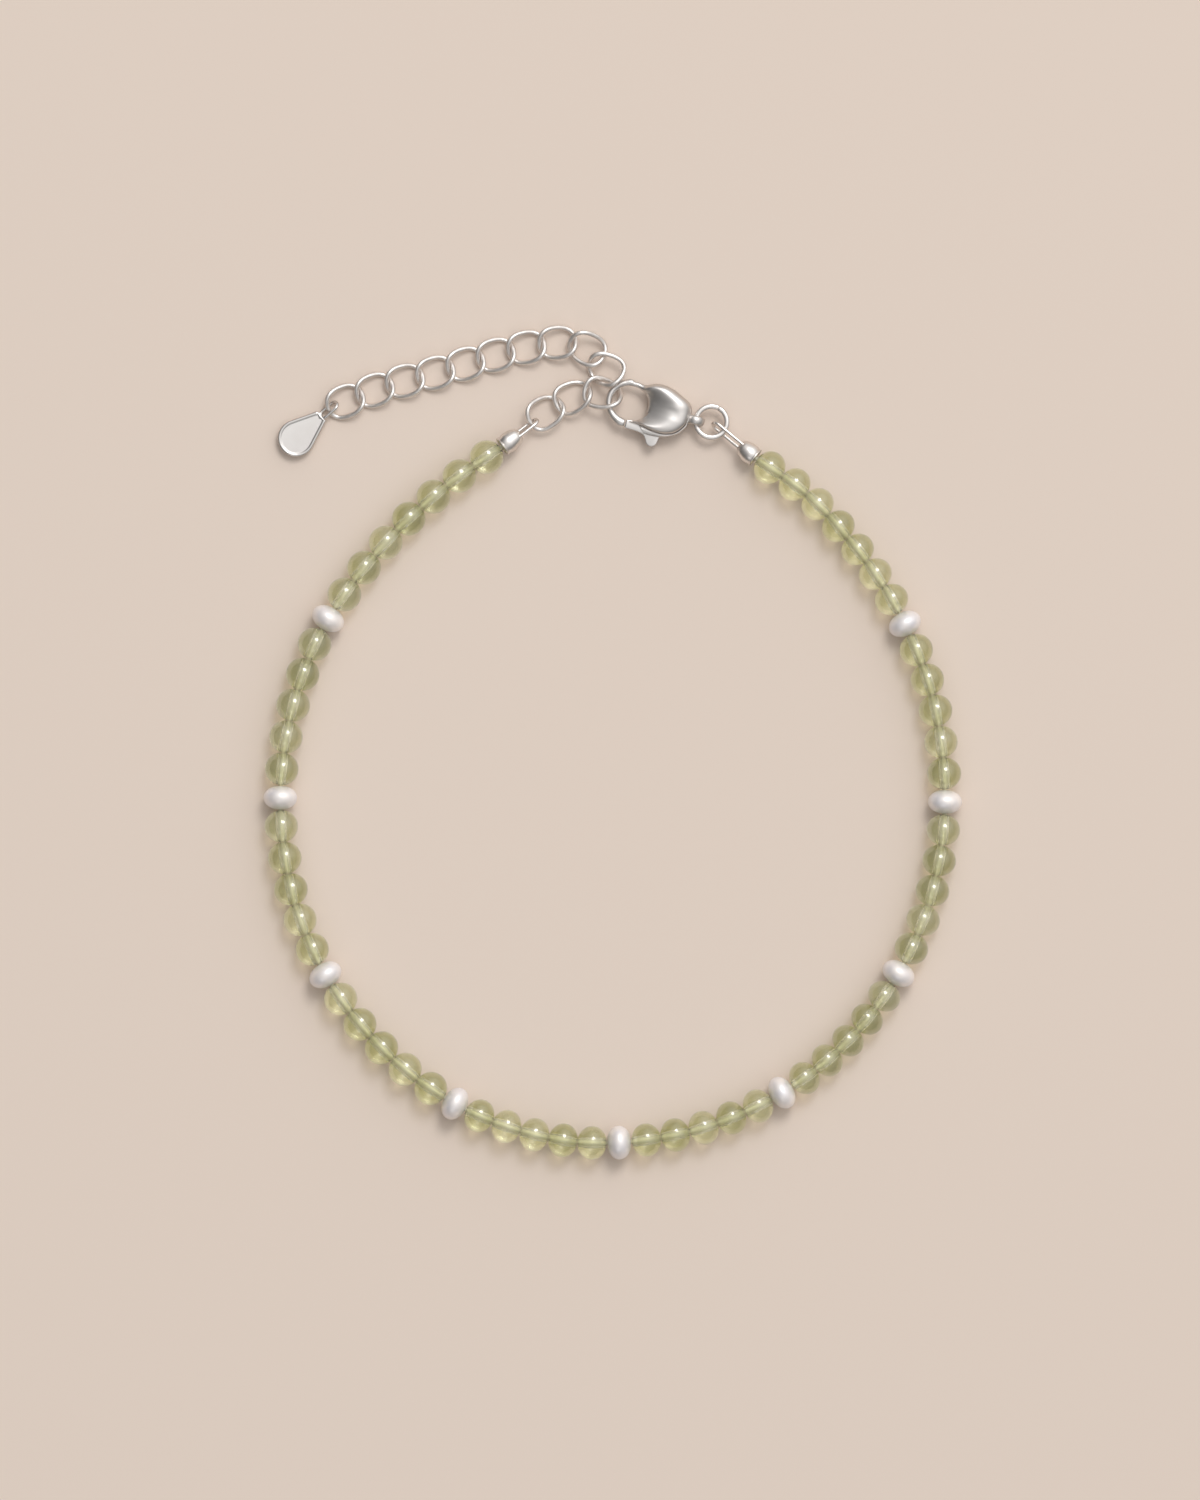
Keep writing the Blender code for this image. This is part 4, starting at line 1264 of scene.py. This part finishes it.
class BRACELET_OT_clasp_lever(bpy.types.Operator):
    """Cuts the sprung lever with its thumb tab"""

    bl_idname = "bracelet.clasp_lever"
    bl_label = "Clasp lever"

    def execute(self, context):
        settings = context.scene.bracelet_clasp
        metal = context.scene.bracelet_metal
        place = clasp_place(settings)
        look = material(brushed_silver, metal)
        outline = rounded(self.outline(settings), 3)
        half = settings.lever / 2
        rings = []
        for turn in np.linspace(0, pi, 9):
            height = -cos(turn) * LEVER_EDGE + np.sign(-cos(turn)) * (half - LEVER_EDGE)
            flat = inward(outline, LEVER_EDGE * (1 - sin(turn)))
            rings.append(np.column_stack([flat, np.full(len(outline), height)]))
        plate = Shape().sweep(placed(np.array(rings), place)).mesh("plate", [look])
        pivot = place @ shifted(settings.pivot_x, -settings.pivot_y, 0) @ turned_by(pitch=pi / 2)
        hole = lathe([(-settings.lever, settings.pin_hole / 2), (settings.lever, settings.pin_hole / 2)], 28)
        cutter = Shape().sweep(placed(hole, pivot)).mesh("hole", [look])
        mesh = carved("lever_arm", plate, [("DIFFERENCE", cutter)], [look])
        add_piece("lever_arm", mesh, ("clasp_lever",), body="lever")
        return {"FINISHED"}

    @staticmethod
    def outline(settings):
        """The lever's outline in the clasp's plane, clockwise from the top of its tip."""
        bearing, inner, outer = clasp_table(settings)[-1][:3]
        nose = (inner + outer) / 2 * level(radians(bearing))[:2]
        tip = nose + [settings.tip_gap, 0]
        pivot = np.array([settings.pivot_x, -settings.pivot_y])
        tab_tip = pivot + (settings.tab_reach - settings.tab / 2) * level(settings.tab_bearing)[:2]
        half = settings.arm / 2
        points = [tip + half * np.array(corner) for corner in LEVER_TIP]
        part, across = LEVER_BACK
        points.append(tip + part * (pivot - tip) + [0, across * half])
        for degree in np.linspace(*TAB_TURN, 9):
            points.append(tab_tip + TAB_FULLNESS * settings.tab / 2 * level(radians(degree))[:2])
        for degree in np.linspace(*PIN_TURN, 7):
            points.append(pivot + settings.boss * level(radians(degree))[:2])
        part, across = LEVER_FRONT
        points.append(tip + part * (pivot - tip) + [0, across * half])
        return np.array(points)


def inward(outline, distance):
    """The outline moved this far inwards, square to its edges. It runs anticlockwise."""
    ahead = np.roll(outline, -1, axis=0) - np.roll(outline, 1, axis=0)
    ahead /= np.linalg.norm(ahead, axis=1, keepdims=True)
    return outline + distance * np.column_stack([-ahead[:, 1], ahead[:, 0]])


class BRACELET_OT_drop_tag(bpy.types.Operator):
    """Shapes the drop tag with its raised rim and its eye"""

    bl_idname = "bracelet.drop_tag"
    bl_label = "Drop tag"

    def execute(self, context):
        settings = context.scene.bracelet_metal
        place = self.place(settings)
        look = material(brushed_silver, settings)
        tools = [("UNION", make(settings, place, look)) for make in (self.eye, self.stud)]
        mesh = carved("tag_drop", self.plate(settings, place, look), tools, [look], sharp=60.0)
        add_piece("tag_drop", mesh, ("drop_tag",))
        return {"FINISHED"}

    @staticmethod
    def place(settings):
        """The tag's placement: the middle of its neck is the origin, on the surface."""
        points = node_points("drop_tag")
        along, across = level(settings.tag_bearing), level(settings.tag_bearing + pi / 2)
        flat = points[points[:, 2] < 0.3 * settings.tag_thickness]
        middle = ((flat @ across).min() + (flat @ across).max()) / 2
        neck = ((points @ along).max() - settings.tag_length) * along + middle * across
        return place_along((neck[0], neck[1], 0.0), along)

    @staticmethod
    def outline(settings):
        """A round end, and straight sides that meet the narrow neck at the origin."""
        radius = settings.tag_width / 2
        centre = settings.tag_length - radius
        lean = np.arcsin((radius - settings.tag_neck / 2) / centre)
        turn = np.linspace(-pi / 2 - lean, pi / 2 + lean, 49)
        round_end = np.stack([centre + radius * np.cos(turn), radius * np.sin(turn)], axis=1)
        neck = settings.tag_neck / 2
        part = np.linspace(0, 1, 12)[:, None]
        low = np.array([[0, -neck]]) + part[:-1] * (round_end[0] - [0, -neck])
        high = round_end[-1] + part[1:] * (np.array([0, neck]) - round_end[-1])
        front = np.stack([np.zeros(4), np.linspace(neck, -neck, 6)[1:-1]], axis=1)
        return np.vstack([low, round_end, high, front])

    def plate(self, settings, place, look):
        outline = self.outline(settings)
        rim = settings.tag_rim / TAG_SECTION_RIM
        thick = settings.tag_thickness / TAG_SECTION_THICKNESS
        spine_end = settings.tag_length - settings.tag_width / 2
        spine = np.column_stack([np.clip(outline[:, 0], TAG_SPINE_START, spine_end), 0 * outline[:, 0]])
        reach = np.linalg.norm(spine - outline, axis=1, keepdims=True)
        rings, marks = [], []
        for inset, height, rubbed in TAG_SECTION:
            flat = outline + np.minimum(inset * rim / reach, TAG_MOST_INSET) * (spine - outline)
            rings.append(np.column_stack([flat, np.full(len(flat), height * thick)]))
            marks.append(rubbed)
        shape = Shape().sweep(placed(np.array(rings), place), mark=np.array(marks))
        return shape.mesh("plate", [look], "rubbed")

    @staticmethod
    def eye(settings, place, look):
        tips = Link(link_names()[-1], settings.link_wire).tips()
        wire = min(tips, key=lambda tip: np.linalg.norm(tip[:2] - place[:2, 3]))
        base = 0.5 * settings.tag_thickness
        height = wire[2] - settings.link_twist * sin(2 * settings.tag_eye_seat)
        pitch = atan2(height - base, settings.tag_eye_length - settings.tag_eye_slack)
        width = settings.tag_eye_height - settings.tag_eye_wire
        path = stadium(settings.tag_eye_length + 0.3 * MM - settings.tag_eye_wire, width, 40)
        turn = turned_by(pi, pitch, settings.tag_eye_roll)
        far = place @ shifted(z=base) @ turn @ shifted(settings.tag_eye_length - settings.tag_eye_wire / 2)
        rings = wire_rings(placed(path, far), settings.tag_eye_wire, 12, up=far[:3, 2])
        return Shape().sweep(rings, closed=True).mesh("eye", [look])

    @staticmethod
    def stud(settings, place, look):
        """The small bright bead of solder beside the neck."""
        low = 0.5 * settings.tag_thickness
        centre = placed(np.array([settings.tag_stud_along, -settings.tag_stud_across, low]), place)
        radius = settings.tag_stud / 2
        top = 0.95 * settings.tag_thickness - low
        across, up = circle(20)
        rings = []
        for wide, high in STUD_SECTION:
            wide = wide * radius
            ring = np.stack([wide * across, wide * up, np.full(20, high * top)], axis=1)
            rings.append(centre + ring)
        pole = centre + [0, 0, top]
        return Shape().sweep(rings, poles=(centre, pole)).mesh("stud", [look])


class BRACELET_OT_stage(bpy.types.Operator):
    """Sets out the pale ground, the soft lights and the camera"""

    bl_idname = "bracelet.stage"
    bl_label = "Stage"

    def execute(self, context):
        settings = context.scene.bracelet_stage
        self.ground(settings)
        self.world(context.scene)
        self.light("main_light", MAIN_LIGHT_WAY, settings.key_power)
        self.light("fill_light", FILL_LIGHT_WAY, settings.fill_power)
        self.camera(context.scene, settings)
        return {"FINISHED"}

    @staticmethod
    def ground(settings):
        half = settings.ground_size / 2
        corners = [(-half, -half, 0), (half, -half, 0), (half, half, 0), (-half, half, 0)]
        mesh = bpy.data.meshes.new("ground")
        mesh.from_pydata(corners, [], [(0, 1, 2, 3)])
        look = Look.material("pale_ground")
        sockets = {"Base Color": settings.ground, "Roughness": 0.9, "Specular IOR Level": 0.1}
        mesh.materials.append(look.finish(look.principled(sockets)))
        ground = bpy.data.objects.new("ground", mesh)
        bpy.context.scene.collection.objects.link(ground)
        ground.location.z = -0.005 * MM

    @staticmethod
    def world(scene):
        """Soft light from overhead and from one bright side, dim towards the horizon."""
        scene.world = bpy.data.worlds.new("studio")
        look = Look(scene.world)
        way = look.node("ShaderNodeTexCoord", output="Generated")
        height = look.node("ShaderNodeSeparateXYZ", {}, {0: way}, output="Z")
        towards = {0: way, 1: Vector(BRIGHT_SIDE_WAY).normalized()}
        facing = look.node("ShaderNodeVectorMath", {"operation": "DOT_PRODUCT"}, towards, output="Value")
        overhead = look.ramp(height, *SKY_BY_HEIGHT)
        bright = look.ramp(facing, *SKY_BRIGHT_SIDE)
        across = look.node("ShaderNodeSeparateXYZ", {}, {0: way}, output="X")
        side = look.ramp(across * 0.5 + 0.5, *SKY_BY_SIDE)
        back = look.node("ShaderNodeBackground", {}, {"Color": overhead * side + bright, "Strength": 1.0})
        look.node("ShaderNodeOutputWorld", {}, {"Surface": back})

    @staticmethod
    def light(name, way, power):
        data = bpy.data.lights.new(name, "AREA")
        data.shape = "DISK"
        data.size = LIGHT_WIDTH
        data.energy = power
        lamp = bpy.data.objects.new(name, data)
        bpy.context.scene.collection.objects.link(lamp)
        way = Vector(way).normalized()
        lamp.location = LIGHT_DISTANCE * way
        lamp.rotation_euler = way.to_track_quat("Z", "Y").to_euler()
        lamp.visible_camera = False

    @staticmethod
    def camera(scene, settings):
        data = bpy.data.cameras.new("camera")
        data.sensor_width = 36.0
        distance = settings.view_height - settings.focus_height
        data.lens = data.sensor_width * distance / settings.view_long_side
        data.clip_start = 0.01
        data.clip_end = 20.0
        camera = bpy.data.objects.new("camera", data)
        scene.collection.objects.link(camera)
        camera.location = (settings.view_x, settings.view_y, settings.view_height)
        scene.camera = camera
        scene.view_settings.view_transform = "Standard"


class BRACELET_PT_panel(bpy.types.Panel):
    """Lists the bracelet's pieces in the sidebar"""

    bl_label = "Bracelet"
    bl_idname = "BRACELET_PT_panel"
    bl_space_type = "VIEW_3D"
    bl_region_type = "UI"
    bl_category = "Bracelet"

    def draw(self, context):
        for operator in OPERATORS:
            self.layout.operator(operator.bl_idname)


SETTINGS = {
    "bracelet_beads": BeadSettings,
    "bracelet_metal": MetalSettings,
    "bracelet_clasp": ClaspSettings,
    "bracelet_stage": StageSettings,
}

OPERATORS = (
    BRACELET_OT_stage,
    BRACELET_OT_glass_beads,
    BRACELET_OT_thread,
    BRACELET_OT_pearls,
    BRACELET_OT_end_caps,
    BRACELET_OT_chain,
    BRACELET_OT_jump_ring,
    BRACELET_OT_clasp_body,
    BRACELET_OT_clasp_lever,
    BRACELET_OT_drop_tag,
)


def register():
    for name, group in SETTINGS.items():
        bpy.utils.register_class(group)
        setattr(bpy.types.Scene, name, PointerProperty(type=group))
    for operator in OPERATORS:
        bpy.utils.register_class(operator)
    bpy.utils.register_class(BRACELET_PT_panel)


def unregister():
    bpy.utils.unregister_class(BRACELET_PT_panel)
    for operator in reversed(OPERATORS):
        bpy.utils.unregister_class(operator)
    for name, group in SETTINGS.items():
        delattr(bpy.types.Scene, name)
        bpy.utils.unregister_class(group)


def main():
    register()
    bpy.ops.bracelet.stage()
    bpy.ops.bracelet.glass_beads()
    bpy.ops.bracelet.thread()
    bpy.ops.bracelet.pearls()
    bpy.ops.bracelet.end_caps()
    bpy.ops.bracelet.chain()
    bpy.ops.bracelet.jump_ring()
    bpy.ops.bracelet.clasp_body()
    bpy.ops.bracelet.clasp_lever()
    bpy.ops.bracelet.drop_tag()


if __name__ == "__main__":
    main()
